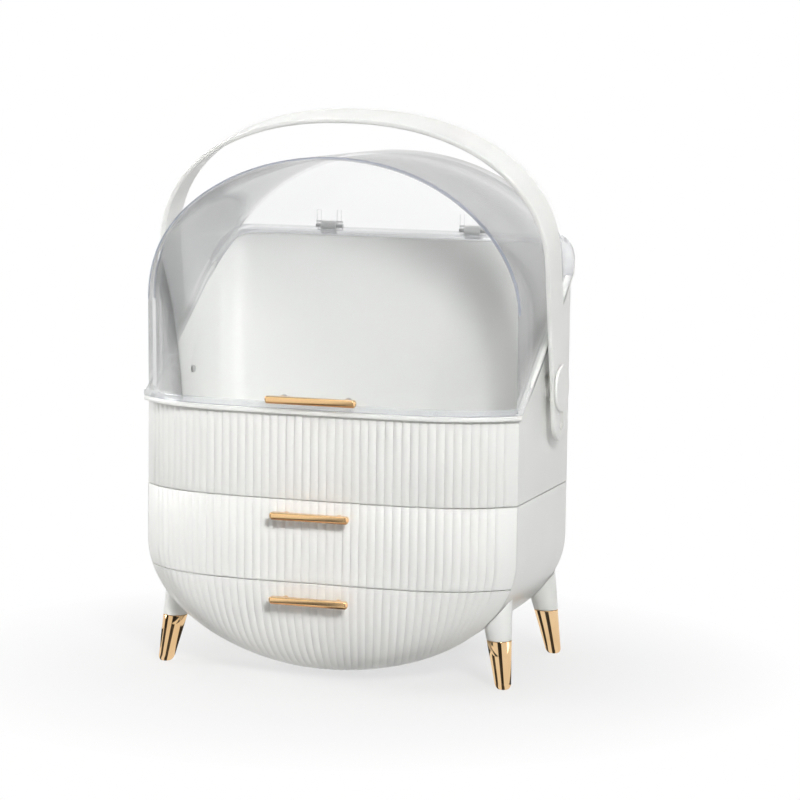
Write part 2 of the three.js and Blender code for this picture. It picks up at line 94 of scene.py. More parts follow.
def mesh_object(name: str, points: np.ndarray, faces: list) -> bpy.types.Object:
    """Makes an object from points in millimetres.

    Args:
        name: Name of the object and its mesh.
        points: Array of shape (n, 3), in millimetres.
        faces: Lists of point numbers.

    Returns:
        The new object, linked to the scene, with its place in its mesh.
    """
    mesh = bpy.data.meshes.new(name)
    mesh.from_pydata((np.asarray(points, float) * MM).tolist(), [], faces)
    made = bpy.data.objects.new(name, mesh)
    bpy.context.scene.collection.objects.link(made)
    return made


def weld(made: bpy.types.Object) -> bpy.types.Object:
    """Merges doubled points, drops empty faces and turns all faces outward.

    Args:
        made: Object whose mesh is cleaned in place.

    Returns:
        The same object.
    """
    grid = bmesh.new()
    grid.from_mesh(made.data)
    bmesh.ops.remove_doubles(grid, verts=grid.verts, dist=WELD)
    bmesh.ops.dissolve_degenerate(grid, edges=grid.edges, dist=WELD / 2)
    bmesh.ops.recalc_face_normals(grid, faces=grid.faces)
    if grid.calc_volume(signed=True) < 0:
        bmesh.ops.reverse_faces(grid, faces=grid.faces)
    grid.to_mesh(made.data)
    grid.free()
    return made


def loft(name: str, rows: list, cap: Cap = Cap.FACE) -> bpy.types.Object:
    """Skins closed rings of equal point counts.

    Args:
        name: Name of the object.
        rows: Rings, each an array of shape (n, 3) in millimetres.
        cap: How the first and last ring are closed.

    Returns:
        The unwelded object.
    """
    count = len(rows[0])
    faces = []
    for k in range(len(rows) - 1):
        low, high = k * count, (k + 1) * count
        for i in range(count):
            following = (i + 1) % count
            faces.append([low + i, low + following, high + following, high + i])
    last = (len(rows) - 1) * count
    if cap is Cap.FACE:
        faces.append(list(range(count))[::-1])
        faces.append(list(range(last, last + count)))
    elif cap is Cap.STRIP:
        half = count // 2
        for start in (0, last):
            end = start + count - 1
            faces += [[start + i, start + i + 1, end - 1 - i, end - i] for i in range(half - 1)]
    return mesh_object(name, np.concatenate(rows), faces)


def lathe(name: str, profile: list, sides: int = 48) -> bpy.types.Object:
    """Turns a profile about the Z axis.

    Args:
        name: Name of the object.
        profile: Pairs of radius and height in millimetres, both ends on the axis.
        sides: Number of points round the axis.

    Returns:
        The welded object.
    """
    turn = np.linspace(0, 2 * math.pi, sides, endpoint=False)
    around = np.column_stack([np.cos(turn), np.sin(turn)])
    rows = [np.column_stack([radius * around, np.full(sides, z)]) for radius, z in profile]
    return weld(loft(name, rows, Cap.NONE))


def place(made: bpy.types.Object, matrix: Matrix) -> bpy.types.Object:
    """Moves a mesh by a matrix whose shift is in millimetres, leaving its object at the origin.

    Args:
        made: Object whose mesh moves.
        matrix: The move.

    Returns:
        The same object.
    """
    matrix = matrix.copy()
    matrix.translation = matrix.translation * MM
    made.data.transform(matrix)
    if matrix.determinant() < 0:
        made.data.flip_normals()
    return made


def box(x: tuple, y: tuple, z: tuple) -> bpy.types.Object:
    """Makes a plain cutting box between limits in millimetres.

    Args:
        x: Limits across.
        y: Limits in depth.
        z: Limits in height.

    Returns:
        The box.
    """
    ring = [(x[0], y[0]), (x[1], y[0]), (x[1], y[1]), (x[0], y[1])]
    return weld(loft("box", [np.array([(a, b, c) for a, b in ring]) for c in z]))


def prism(name: str, outline: np.ndarray) -> bpy.types.Object:
    """Makes a cutting prism that reaches through the whole body along X.

    Args:
        name: Name of the object.
        outline: Pairs of depth and height in millimetres.

    Returns:
        The prism.
    """
    ends = (-WEDGE_HALF, WEDGE_HALF)
    return weld(loft(name, [np.column_stack([np.full(len(outline), x), outline]) for x in ends]))


def rod(radius: float, span: tuple, at: tuple, axis: str = "X", sides: int = 40) -> bpy.types.Object:
    """Makes a round rod along X or Y.

    Args:
        radius: Radius in millimetres.
        span: Where it starts and ends along its axis.
        at: Its place across: (y, z) for an X rod and (x, z) for a Y rod.
        axis: "X" or "Y".
        sides: Number of flats.

    Returns:
        The rod.
    """
    turn = np.linspace(0, 2 * math.pi, sides, endpoint=False)
    a, b = at[0] + radius * np.cos(turn), at[1] + radius * np.sin(turn)
    order = (lambda s: (s, a, b)) if axis == "X" else (lambda s: (a, s, b))
    return weld(loft("rod", [np.column_stack(order(np.full(sides, s))) for s in sorted(span)]))


def combine(made: bpy.types.Object, cut: Cut, *tools: bpy.types.Object) -> bpy.types.Object:
    """Cuts, joins or trims a closed mesh with others, which are used up.

    Args:
        made: The mesh that stays.
        cut: What happens to it.
        *tools: The meshes that it meets.

    Returns:
        The same object with its new mesh.
    """
    for tool in tools:
        step = made.modifiers.new("step", "BOOLEAN")
        step.operation = cut.value
        step.solver = "MANIFOLD"
        step.object = tool
        settle(made)
        bpy.data.objects.remove(tool)
    return made


def settle(made: bpy.types.Object) -> bpy.types.Object:
    """Turns an object's modifiers into its plain mesh.

    Args:
        made: Object with live modifiers.

    Returns:
        The same object without modifiers.
    """
    bpy.context.view_layer.update()
    evaluated = made.evaluated_get(bpy.context.evaluated_depsgraph_get())
    mesh = bpy.data.meshes.new_from_object(evaluated)
    made.modifiers.clear()
    old = made.data
    made.data = mesh
    bpy.data.meshes.remove(old)
    mesh.name = made.name
    return made


def soften(made: bpy.types.Object, width: float, angle: float) -> bpy.types.Object:
    """Rounds the edges that turn more than an angle, in three steps each.

    Args:
        made: Object to round.
        width: Width of the rounding in millimetres.
        angle: Least turn in degrees.

    Returns:
        The same object.
    """
    step = made.modifiers.new("soften", "BEVEL")
    step.width = width * MM
    step.segments = 3
    step.limit_method = "ANGLE"
    step.angle_limit = math.radians(angle)
    step.use_clamp_overlap = True
    return settle(made)


def shade(made: bpy.types.Object, angle: float = 32.0) -> bpy.types.Object:
    """Shades a mesh smooth with sharp edges above an angle.

    Args:
        made: Object to shade.
        angle: Sharp above this turn, in degrees.

    Returns:
        The same object.
    """
    made.data.shade_smooth()
    made.data.set_sharp_from_angle(angle=math.radians(angle))
    return made


def spots(made: bpy.types.Object) -> np.ndarray:
    """Points of a mesh, as an array of shape (n, 3) in millimetres.

    Args:
        made: The object.

    Returns:
        The points.
    """
    points = np.empty(len(made.data.vertices) * 3, np.float32)
    made.data.vertices.foreach_get("co", points)
    return points.reshape(-1, 3) / MM


def store(made: bpy.types.Object, name: str, values: np.ndarray) -> None:
    """Stores a number or a vector at each point of a mesh.

    Args:
        made: Object whose mesh carries the values.
        name: Name of the attribute.
        values: Array of shape (n,) or (n, 3).
    """
    kind, key = ("FLOAT", "value") if values.ndim == 1 else ("FLOAT_VECTOR", "vector")
    target = made.data.attributes.new(name, kind, "POINT")
    target.data.foreach_set(key, values.astype(np.float32).ravel())


# Node trees


class NodeTree:
    """The nodes and links of a tree, with short ways to add to them."""

    def __init__(self, tree: bpy.types.NodeTree) -> None:
        """Takes up a tree."""
        self.nodes, self.links = tree.nodes, tree.links

    def add(self, kind: str, inputs: dict, **settings: object) -> bpy.types.Node:
        """Adds a node.

        Args:
            kind: Type of the node.
            inputs: Input number or name to a socket or a value.
            **settings: Properties of the node.

        Returns:
            The node.
        """
        made = self.nodes.new(kind)
        for key, value in settings.items():
            setattr(made, key, value)
        for key, value in inputs.items():
            if isinstance(value, bpy.types.NodeSocket):
                self.links.new(value, made.inputs[key])
            else:
                made.inputs[key].default_value = value
        return made

    def sum(self, operation: str, a: object, b: object = 0.0, c: object = 0.0) -> bpy.types.NodeSocket:
        """Adds a math node and returns its result."""
        return self.add("ShaderNodeMath", {0: a, 1: b, 2: c}, operation=operation).outputs[0]

    def remap(self, value: bpy.types.NodeSocket, source: tuple, target: tuple) -> bpy.types.NodeSocket:
        """Maps a value from one range to another."""
        limits = {1: source[0], 2: source[1], 3: target[0], 4: target[1]}
        return self.add("ShaderNodeMapRange", {0: value, **limits}).outputs[0]

    def blend(self, share: bpy.types.NodeSocket, low: object, high: object) -> bpy.types.NodeSocket:
        """Mixes two colours by a share of the second."""
        return self.add("ShaderNodeMix", {0: share, 6: low, 7: high}, data_type="RGBA").outputs[2]

    def mix(self, share: bpy.types.NodeSocket, low: bpy.types.Node, high: bpy.types.Node) -> bpy.types.Node:
        """Mixes two shaders by a share of the second."""
        return self.add("ShaderNodeMixShader", {0: share, 1: low.outputs[0], 2: high.outputs[0]})


class GeometryTree(NodeTree):
    """A Geometry Nodes tree with named inputs, ended by Realize Instances and Set Material."""

    def __init__(self, name: str) -> None:
        """Starts an empty tree with a geometry input and output.

        Args:
            name: Name of the tree.
        """
        self.tree = bpy.data.node_groups.new(name, "GeometryNodeTree")
        super().__init__(self.tree)
        self.names: dict = {}
        face = self.tree.interface
        face.new_socket("Geometry", in_out="INPUT", socket_type="NodeSocketGeometry")
        face.new_socket("Geometry", in_out="OUTPUT", socket_type="NodeSocketGeometry")
        self.start = self.nodes.new("NodeGroupInput")
        self.end = self.nodes.new("NodeGroupOutput")

    def ask(self, name: str, kind: str = "NodeSocketFloat") -> bpy.types.NodeSocket:
        """Adds a named input.

        Args:
            name: Name of the input.
            kind: Type of its socket.

        Returns:
            The socket that carries it inside the tree.
        """
        asked = self.tree.interface.new_socket(name, in_out="INPUT", socket_type=kind)
        self.names[name] = asked.identifier
        return next(socket for socket in self.start.outputs if socket.identifier == asked.identifier)

    def vector(self, x: object, y: object, z: object) -> bpy.types.NodeSocket:
        """Joins three numbers to a vector."""
        return self.add("ShaderNodeCombineXYZ", {0: x, 1: y, 2: z}).outputs[0]

    def stored(self, name: str, kind: str) -> bpy.types.NodeSocket:
        """Reads a named attribute of the mesh."""
        node = self.add("GeometryNodeInputNamedAttribute", {"Name": name}, data_type=kind)
        return node.outputs["Attribute"]

    def close(self, geometry: bpy.types.NodeSocket) -> None:
        """Ends the tree with Realize Instances and Set Material.

        Args:
            geometry: What the tree gives out.
        """
        finish = self.ask("Finish", "NodeSocketMaterial")
        real = self.add("GeometryNodeRealizeInstances", {"Geometry": geometry})
        dressed = self.add("GeometryNodeSetMaterial", {"Geometry": real.outputs[0], "Material": finish})
        self.links.new(dressed.outputs[0], self.end.inputs[0])

    def run(self, made: bpy.types.Object, values: dict) -> bpy.types.Object:
        """Runs the tree on an object and keeps the result as its plain mesh.

        Args:
            made: Object whose mesh goes in.
            values: Input name to value.

        Returns:
            The same object.
        """
        step = made.modifiers.new("tree", "NODES")
        step.node_group = self.tree
        for name, value in values.items():
            step[self.names[name]] = value
        return settle(made)


# Finishes


class Finish(NodeTree):
    """A procedural finish, made once and shared by the pieces that wear it."""

    noise_span = (0.3, 0.7)
    tint_span = (0.35, 0.65)

    def __init__(self, name: str, slot: Slot) -> None:
        """Starts a node material with a plain shader.

        Args:
            name: Name of the material.
            slot: Slot that the material belongs to.
        """
        self.slot = slot
        self.material = bpy.data.materials.new(name)
        self.material.use_nodes = True
        super().__init__(self.material.node_tree)
        self.nodes.clear()
        self.output = self.nodes.new("ShaderNodeOutputMaterial")
        self.shader = self.nodes.new("ShaderNodeBsdfPrincipled")
        self.show(self.shader)

    def show(self, shader: bpy.types.Node) -> None:
        """Puts a shader on the surface."""
        self.links.new(shader.outputs[0], self.output.inputs["Surface"])

    def lead(self, value: bpy.types.NodeSocket, name: str) -> None:
        """Links a value to one of the shader's own sockets."""
        self.links.new(value, self.shader.inputs[name])

    def set(self, **values: object) -> None:
        """Sets constants on the shader's own sockets, underscores standing for spaces."""
        for name, value in values.items():
            self.shader.inputs[name.replace("_", " ")].default_value = value

    def place(self, stretch: tuple = (1, 1, 1)) -> bpy.types.NodeSocket:
        """Object coordinates, stretched along each axis."""
        where = self.add("ShaderNodeTexCoord", {}).outputs["Object"]
        return self.add("ShaderNodeMapping", {"Vector": where, "Scale": stretch}).outputs[0]

    def noise(self, where: bpy.types.NodeSocket, scale: float, detail: float = 3.0) -> bpy.types.NodeSocket:
        """A noise value over a place."""
        inputs = {"Vector": where, "Scale": scale, "Detail": detail}
        return self.add("ShaderNodeTexNoise", inputs).outputs[0]

    def stored(self, name: str) -> bpy.types.NodeSocket:
        """Reads a named number of the mesh."""
        return self.add("ShaderNodeAttribute", {}, attribute_name=name).outputs["Fac"]

    def range(self, value: bpy.types.NodeSocket, low: float, high: float) -> bpy.types.NodeSocket:
        """Maps a noise value to a range."""
        return self.remap(value, self.noise_span, (low, high))

    def ramp(
        self, value: bpy.types.NodeSocket, low: tuple, high: tuple, span: tuple = (0.0, 1.0)
    ) -> bpy.types.NodeSocket:
        """Runs between two colours by a value.

        Args:
            value: The value.
            low: Colour at the start of the span.
            high: Colour at its end.
            span: Where the colours start and end to change.

        Returns:
            The colour.
        """
        made = self.add("ShaderNodeValToRGB", {0: value})
        for stop, at, colour in zip(made.color_ramp.elements, span, (low, high)):
            stop.position, stop.color = at, (*colour, 1)
        return made.outputs[0]

    def tint(self, value: bpy.types.NodeSocket, low: tuple, high: tuple) -> bpy.types.NodeSocket:
        """Colours the shader between two colours by a noise value and returns the colour.

        Args:
            value: The noise value.
            low: Colour at low values.
            high: Colour at high values.

        Returns:
            The colour's socket.
        """
        colour = self.ramp(value, low, high, self.tint_span)
        self.lead(colour, "Base Color")
        return colour

    def bump(self, height: bpy.types.NodeSocket, strength: float, depth: float) -> None:
        """Raises the surface by a height value, with depth in millimetres."""
        made = self.add("ShaderNodeBump", {"Strength": strength, "Distance": depth * MM, "Height": height})
        self.lead(made.outputs[0], "Normal")

    def dress(self, made: bpy.types.Object) -> bpy.types.Object:
        """Puts this finish on a whole piece.

        Args:
            made: The piece.

        Returns:
            The same piece.
        """
        made.data.materials.clear()
        made.data.materials.append(self.material)
        for polygon in made.data.polygons:
            polygon.material_index = 0
        return made


@dataclass(frozen=True)
class WhitePlastic:
    """Smooth warm white moulded plastic with a soft gloss."""

    pale: tuple = (0.885, 0.885, 0.862)
    deep: tuple = (0.865, 0.865, 0.84)
    cloud_scale: float = 14.0
    roughness: tuple = (0.29, 0.35)
    sheen_scale: float = 22.0
    grain_scale: float = 160.0
    detail: float = 2.0
    grain_strength: float = 0.05
    grain_depth: float = 0.02
    ior: float = 1.46
    coat: float = 0.15
    coat_roughness: float = 0.12

    def make(self) -> Finish:
        """Makes the finish.

        Returns:
            The finish.
        """
        made = Finish("white_moulded", Slot.WHITE)
        made.tint(made.noise(made.place(), self.cloud_scale), self.deep, self.pale)
        sheen = made.noise(made.place(), self.sheen_scale, self.detail)
        made.lead(made.range(sheen, *self.roughness), "Roughness")
        grain = made.noise(made.place(), self.grain_scale, self.detail)
        made.bump(grain, self.grain_strength, self.grain_depth)
        made.set(IOR=self.ior, Coat_Weight=self.coat, Coat_Roughness=self.coat_roughness)
        return made


@dataclass(frozen=True)
class ClearPlastic:
    """Thin clear moulded plastic: a pale veil, deeper where it is seen edge on, under a polished gloss.

    The two spans are distances in millimetres over which the painted shade lines fade out: from the arch
    edge, and above the rim. These darker lines are painted colour for the shade that the rounded edge and
    the flange show.
    """

    pale: tuple = (0.87, 0.885, 0.91)
    edge: tuple = (0.9, 0.915, 0.94)
    veil: tuple = (0.035, 0.26)
    facing: float = 0.3
    facing_power: float = 2.0
    cloud_scale: float = 9.0
    cloud: tuple = (0.92, 1.08)
    # Colour painted as shade lines along the arch edge and in a band above the rim
    line: tuple = (0.3, 0.325, 0.385)
    edge_shade_veil: float = 0.8
    arch_span: tuple = (0.9, 2.0)
    rim_span: tuple = (3.6, 4.4)
    rim_shade: float = 0.3
    through: tuple = (0.84, 0.845, 0.85)
    roughness: tuple = (0.08, 0.13)
    gloss: float = 0.75
    ripple_scale: float = 60.0
    ripple_strength: float = 0.04
    ripple_depth: float = 0.04
    ior: float = 1.45

    def edge_shade_share(self, made: Finish) -> bpy.types.NodeSocket:
        """How much of the painted shade lines shows at a place: a darker line along the arch edge and a
        band above the rim.

        Args:
            made: The finish that reads the distances.

        Returns:
            The share's socket.
        """
        arch = made.remap(made.stored("edge_near"), self.arch_span, (1.0, 0.0))
        rim = made.remap(made.stored("rim_rise"), self.rim_span, (self.rim_shade, 0.0))
        return made.sum("MAXIMUM", arch, rim)

    def make(self) -> Finish:
        """Makes the finish.

        Returns:
            The finish.
        """
        made = Finish("clear_moulded", Slot.CLEAR)
        cloud = made.noise(made.place(), self.cloud_scale)
        facing = made.add("ShaderNodeLayerWeight", {"Blend": self.facing})
        depth = made.sum("POWER", facing.outputs["Facing"], self.facing_power)
        wave = made.sum("MULTIPLY", depth, made.range(cloud, *self.cloud))
        # Share of painted shade line at this place
        line = self.edge_shade_share(made)
        made.lead(made.blend(line, made.ramp(wave, self.pale, self.edge), (*self.line, 1)), "Base Color")
        veil = made.remap(wave, (0.0, 1.0), self.veil)
        made.lead(made.sum("MULTIPLY_ADD", line, self.edge_shade_veil, veil), "Alpha")
        roughness = made.range(cloud, *self.roughness)
        made.lead(roughness, "Roughness")
        ripple = made.noise(made.place(), self.ripple_scale, 1.0)
        made.bump(ripple, self.ripple_strength, self.ripple_depth)
        made.set(IOR=self.ior)
        shine = made.add("ShaderNodeBsdfGlossy", {"Roughness": roughness})
        amount = made.sum("MULTIPLY", facing.outputs["Fresnel"], self.gloss)
        glossy = made.mix(amount, made.shader, shine)
        through = made.add("ShaderNodeBsdfTransparent", {"Color": (*self.through, 1)})
        path = made.add("ShaderNodeLightPath", {})
        made.show(made.mix(path.outputs["Is Shadow Ray"], glossy, through))
        return made


@dataclass(frozen=True)
class RoseGold:
    """Rose gold plating, satin on the pulls and polished on the foot caps, with painted shade darkening the
    pulls toward their undersides.
    """

    name: str = "rose_gold_satin"
    pale: tuple = (1.0, 0.69, 0.37)
    deep: tuple = (0.98, 0.66, 0.34)
    cloud_scale: float = 30.0
    # Dark colour painted on the lower part of the pull bars as shade
    low_shade: tuple = (0.42, 0.15, 0.03)
    roughness: tuple = (0.2, 0.25)
    grain: tuple = (12, 160, 160)
    grain_scale: float = 6.0
    grain_detail: float = 5.0
    grain_strength: float = 0.03
    grain_depth: float = 0.02
    anisotropy: float = 0.2

    def make(self) -> Finish:
        """Makes the finish.

        Returns:
            The finish.
        """
        made = Finish(self.name, Slot.GOLD)
        grain = made.noise(made.place(self.grain), self.grain_scale, self.grain_detail)
        tint = made.tint(made.noise(made.place(), self.cloud_scale), self.deep, self.pale)
        # Paints shade on the bar's lower part, by the stored share below its middle
        made.lead(made.blend(made.stored("painted_shade_below"), tint, (*self.low_shade, 1)), "Base Color")
        made.lead(made.range(grain, *self.roughness), "Roughness")
        made.bump(grain, self.grain_strength, self.grain_depth)
        made.set(Metallic=1.0, Anisotropic=self.anisotropy)
        return made


@dataclass(frozen=True)
class Steel:
    """Plain turned steel of screws and hinge pins."""

    pale: tuple = (0.62, 0.62, 0.61)
    deep: tuple = (0.5, 0.5, 0.5)
    roughness: tuple = (0.28, 0.42)
    grain: tuple = (200, 200, 200)
    grain_scale: float = 8.0
    grain_detail: float = 4.0
    grain_strength: float = 0.15
    grain_depth: float = 0.02

    def make(self) -> Finish:
        """Makes the finish.

        Returns:
            The finish.
        """
        made = Finish("plain_steel", Slot.STEEL)
        grain = made.noise(made.place(self.grain), self.grain_scale, self.grain_detail)
        made.tint(grain, self.deep, self.pale)
        made.lead(made.range(grain, *self.roughness), "Roughness")
        made.bump(grain, self.grain_strength, self.grain_depth)
        made.set(Metallic=1.0)
        return made


# Shared forms


@dataclass(frozen=True)
class BodyForm:
    """The egg-shaped body that all white shells follow, bowed forward in plan, in millimetres."""

    half_width: float = 127.5
    front_y: float = -81.75
    back_y: float = 85.75
    bow_depth: float = 30.3
    bow_power: float = 4.71
    corner_radius: float = 22.0
    bottom_z: float = 5.3
    belly_z: float = 85.0
    lower_seam_z: float = 67.0
    upper_seam_z: float = 121.0
    rim_front_z: float = 179.5
    rim_back_z: float = 281.5
    rim_sag: float = 6.5
    wall: float = 2.5
    seam_gap: float = 0.5
    fit_gap: float = 0.3
    lip_overhang: float = 2.4
    corner_steps: int = 14
    bow_steps: int = 72
    bowl_steps: int = 40
    belly_steps: int = 6
    rim_steps: int = 49
    ring_gap: float = 0.02

    @property
    def corner_y(self) -> float:
        """Depth of the plane where the front bow starts."""
        return self.front_y + self.bow_depth

    def shares(self) -> np.ndarray:
        """Places across the bow from -1 to 1, closer toward the corners."""
        return np.sin(np.linspace(-0.5, 0.5, self.bow_steps + 1) * math.pi)

    def bow(self, share: np.ndarray) -> np.ndarray:
        """How far the bow stands ahead of the corner plane."""
        return self.bow_depth * (1 - np.abs(share) ** self.bow_power)

    def half(self, z: float, inset: float = 0.0) -> float:
        """Half the width at a height."""
        drop = np.clip((self.belly_z - z) / (self.belly_z - self.bottom_z - inset), 0, 1)
        return (self.half_width - inset) * np.sqrt(1 - drop**2)

    def bowl(self, z: float, inset: float = 0.0) -> float:
        """Share of the bow left at a height."""
        drop = np.clip((self.lower_seam_z - z) / (self.lower_seam_z - self.bottom_z - inset), 0, 1)
        return np.sqrt(1 - drop**2)

    def rim(self, y: np.ndarray) -> np.ndarray:
        """Height of the slanted rim at a depth.

        Args:
            y: Depths.

        Returns:
            A height for each depth.
        """
        share = np.clip((y - self.corner_y) / (self.back_y - self.corner_y), 0, 1)
        rise = (self.rim_back_z - self.rim_front_z) * share
        return self.rim_front_z + rise - 4 * self.rim_sag * share * (1 - share)

    def front(self, share: np.ndarray, z: float, inset: float = 0.0) -> np.ndarray:
        """Points of the bow at a height.

        Args:
            share: Places across, from -1 to 1.
            z: Height.
            inset: How far inside the outer face.

        Returns:
            Points of shape (n, 3).
        """
        x = self.half(z, inset) * share
        y = self.corner_y + (inset - self.bow(share)) * self.bowl(z, inset)
        return np.column_stack([x, y, np.full(len(share), float(z))])

    def back(self, z: float, inset: float = 0.0) -> np.ndarray:
        """Points of the back from the right side round to the left, corners rounded.

        Args:
            z: Height.
            inset: How far inside the outer face.

        Returns:
            Points of shape (n, 3).
        """
        turn = np.linspace(0, math.pi / 2, self.corner_steps + 1)
        radius, half = self.corner_radius - inset, self.half(z, inset)
        x = half - radius * (1 - np.cos(turn)) * half / (self.half_width - inset)
        y = self.back_y - inset - radius * (1 - np.sin(turn))
        right = np.column_stack([x, y, np.full(len(turn), float(z))])
        return np.concatenate([right, right[::-1] * (-1, 1, 1)])

    def ring(self, z: float, inset: float, share: np.ndarray) -> np.ndarray:
        """The whole plan outline at a height."""
        return np.concatenate([self.front(share, z, inset), self.back(z, inset)])

    def rim_ring(self, offset: float, inset: float, share: np.ndarray) -> np.ndarray:
        """The plan outline laid along the slanted rim.

        Args:
            offset: Height above the rim line.
            inset: How far inside the outer face.
            share: Places across the bow.

        Returns:
            Points of shape (n, 3).
        """
        ring = self.ring(self.rim_front_z, inset, share)
        ring[:, 2] = self.rim(ring[:, 1]) + offset
        return ring

    def heights(self, low: float, high: float, inset: float) -> list:
        """Heights of rings between two limits, closer where the bowl turns under.

        Args:
            low: Lower limit.
            high: Upper limit.
            inset: How far inside the outer face the rings lie.

        Returns:
            The heights from the lowest up.
        """
        depth = self.lower_seam_z - self.bottom_z - inset
        turn = np.linspace(0, math.pi / 2, self.bowl_steps + 1)
        bowl = self.lower_seam_z - depth * np.sin(turn)
        belly = np.linspace(self.lower_seam_z, self.belly_z, self.belly_steps)
        first, last = low + self.ring_gap, high - self.ring_gap
        inside = sorted({round(z, 4) for z in (*bowl, *belly) if first < z < last})
        return [max(low, self.bottom_z + inset)] + inside + [high]

    def block(
        self, low: float, high: float, inset: float, near: float = -math.inf, far: float = math.inf
    ) -> bpy.types.Object:
        """The body between two heights as a closed mesh.

        Args:
            low: Lowest height.
            high: Highest height.
            inset: How far inside the outer face.
            near: Nothing stands ahead of this depth.
            far: Nothing stands behind this depth.

        Returns:
            The welded block.
        """
        rows = [self.ring(z, inset, self.shares()) for z in self.heights(low, high, inset)]
        for row in rows:
            row[:, 1] = np.clip(row[:, 1], near, far)
        return weld(loft("block", rows))

    def beyond_rim(self, offset: float, far_z: float) -> bpy.types.Object:
        """Everything above or below the slanted rim line.

        Args:
            offset: Height above the rim line.
            far_z: Height of the far side.

        Returns:
            A wedge along X.
        """
        slope = np.linspace(self.corner_y, self.back_y, self.rim_steps)
        y = np.concatenate([[2 * self.front_y], slope, [2 * self.back_y]])
        line = np.column_stack([y, self.rim(y) + offset])
        far = np.column_stack([y[::-1], np.full(len(y), far_z)])
        outline = np.concatenate([line, far])
        return prism("wedge", outline)


@dataclass(frozen=True)
class Pivot:
    """Where the carry handle turns and lifts, and its screws, in millimetres."""

    y: float = 17.0
    z: float = 190.0
    bore_radius: float = 1.6
    screw_radius: float = 1.5

    @property
    def spot(self) -> tuple:
        """Depth and height of the pivot's axis."""
        return self.y, self.z

    def stand(self, made: bpy.types.Object, turn: Matrix) -> bpy.types.Object:
        """Turns a part that was made about the origin and moves it onto the axis."""
        return place(made, Matrix.Translation((0, *self.spot)) @ turn)


@dataclass(frozen=True)
class PullFit:
    """Size of a pull and how its screws pass the panel behind it, in millimetres."""

    z: float
    length: float
    post_inset: float = 9.0
    bore_radius: float = 1.3
    screw_radius: float = 1.2
    bore_lead: float = 10.0
    bore_sides: int = 32

    def posts(self) -> list:
        """Places of the two posts across."""
        return [side * (self.length / 2 - self.post_inset) for _, side in SIDES]

    def bores(self, start: float, end: float) -> list:
        """Rods that bore both screw holes between two depths."""
        span = (start, end)
        return [rod(self.bore_radius, span, (x, self.z), "Y", self.bore_sides) for x in self.posts()]

    def panel_bores(self, body: BodyForm) -> list:
        """Rods that bore the screw holes of the panel behind the pull."""
        return self.bores(body.front_y - self.bore_lead, body.corner_y)


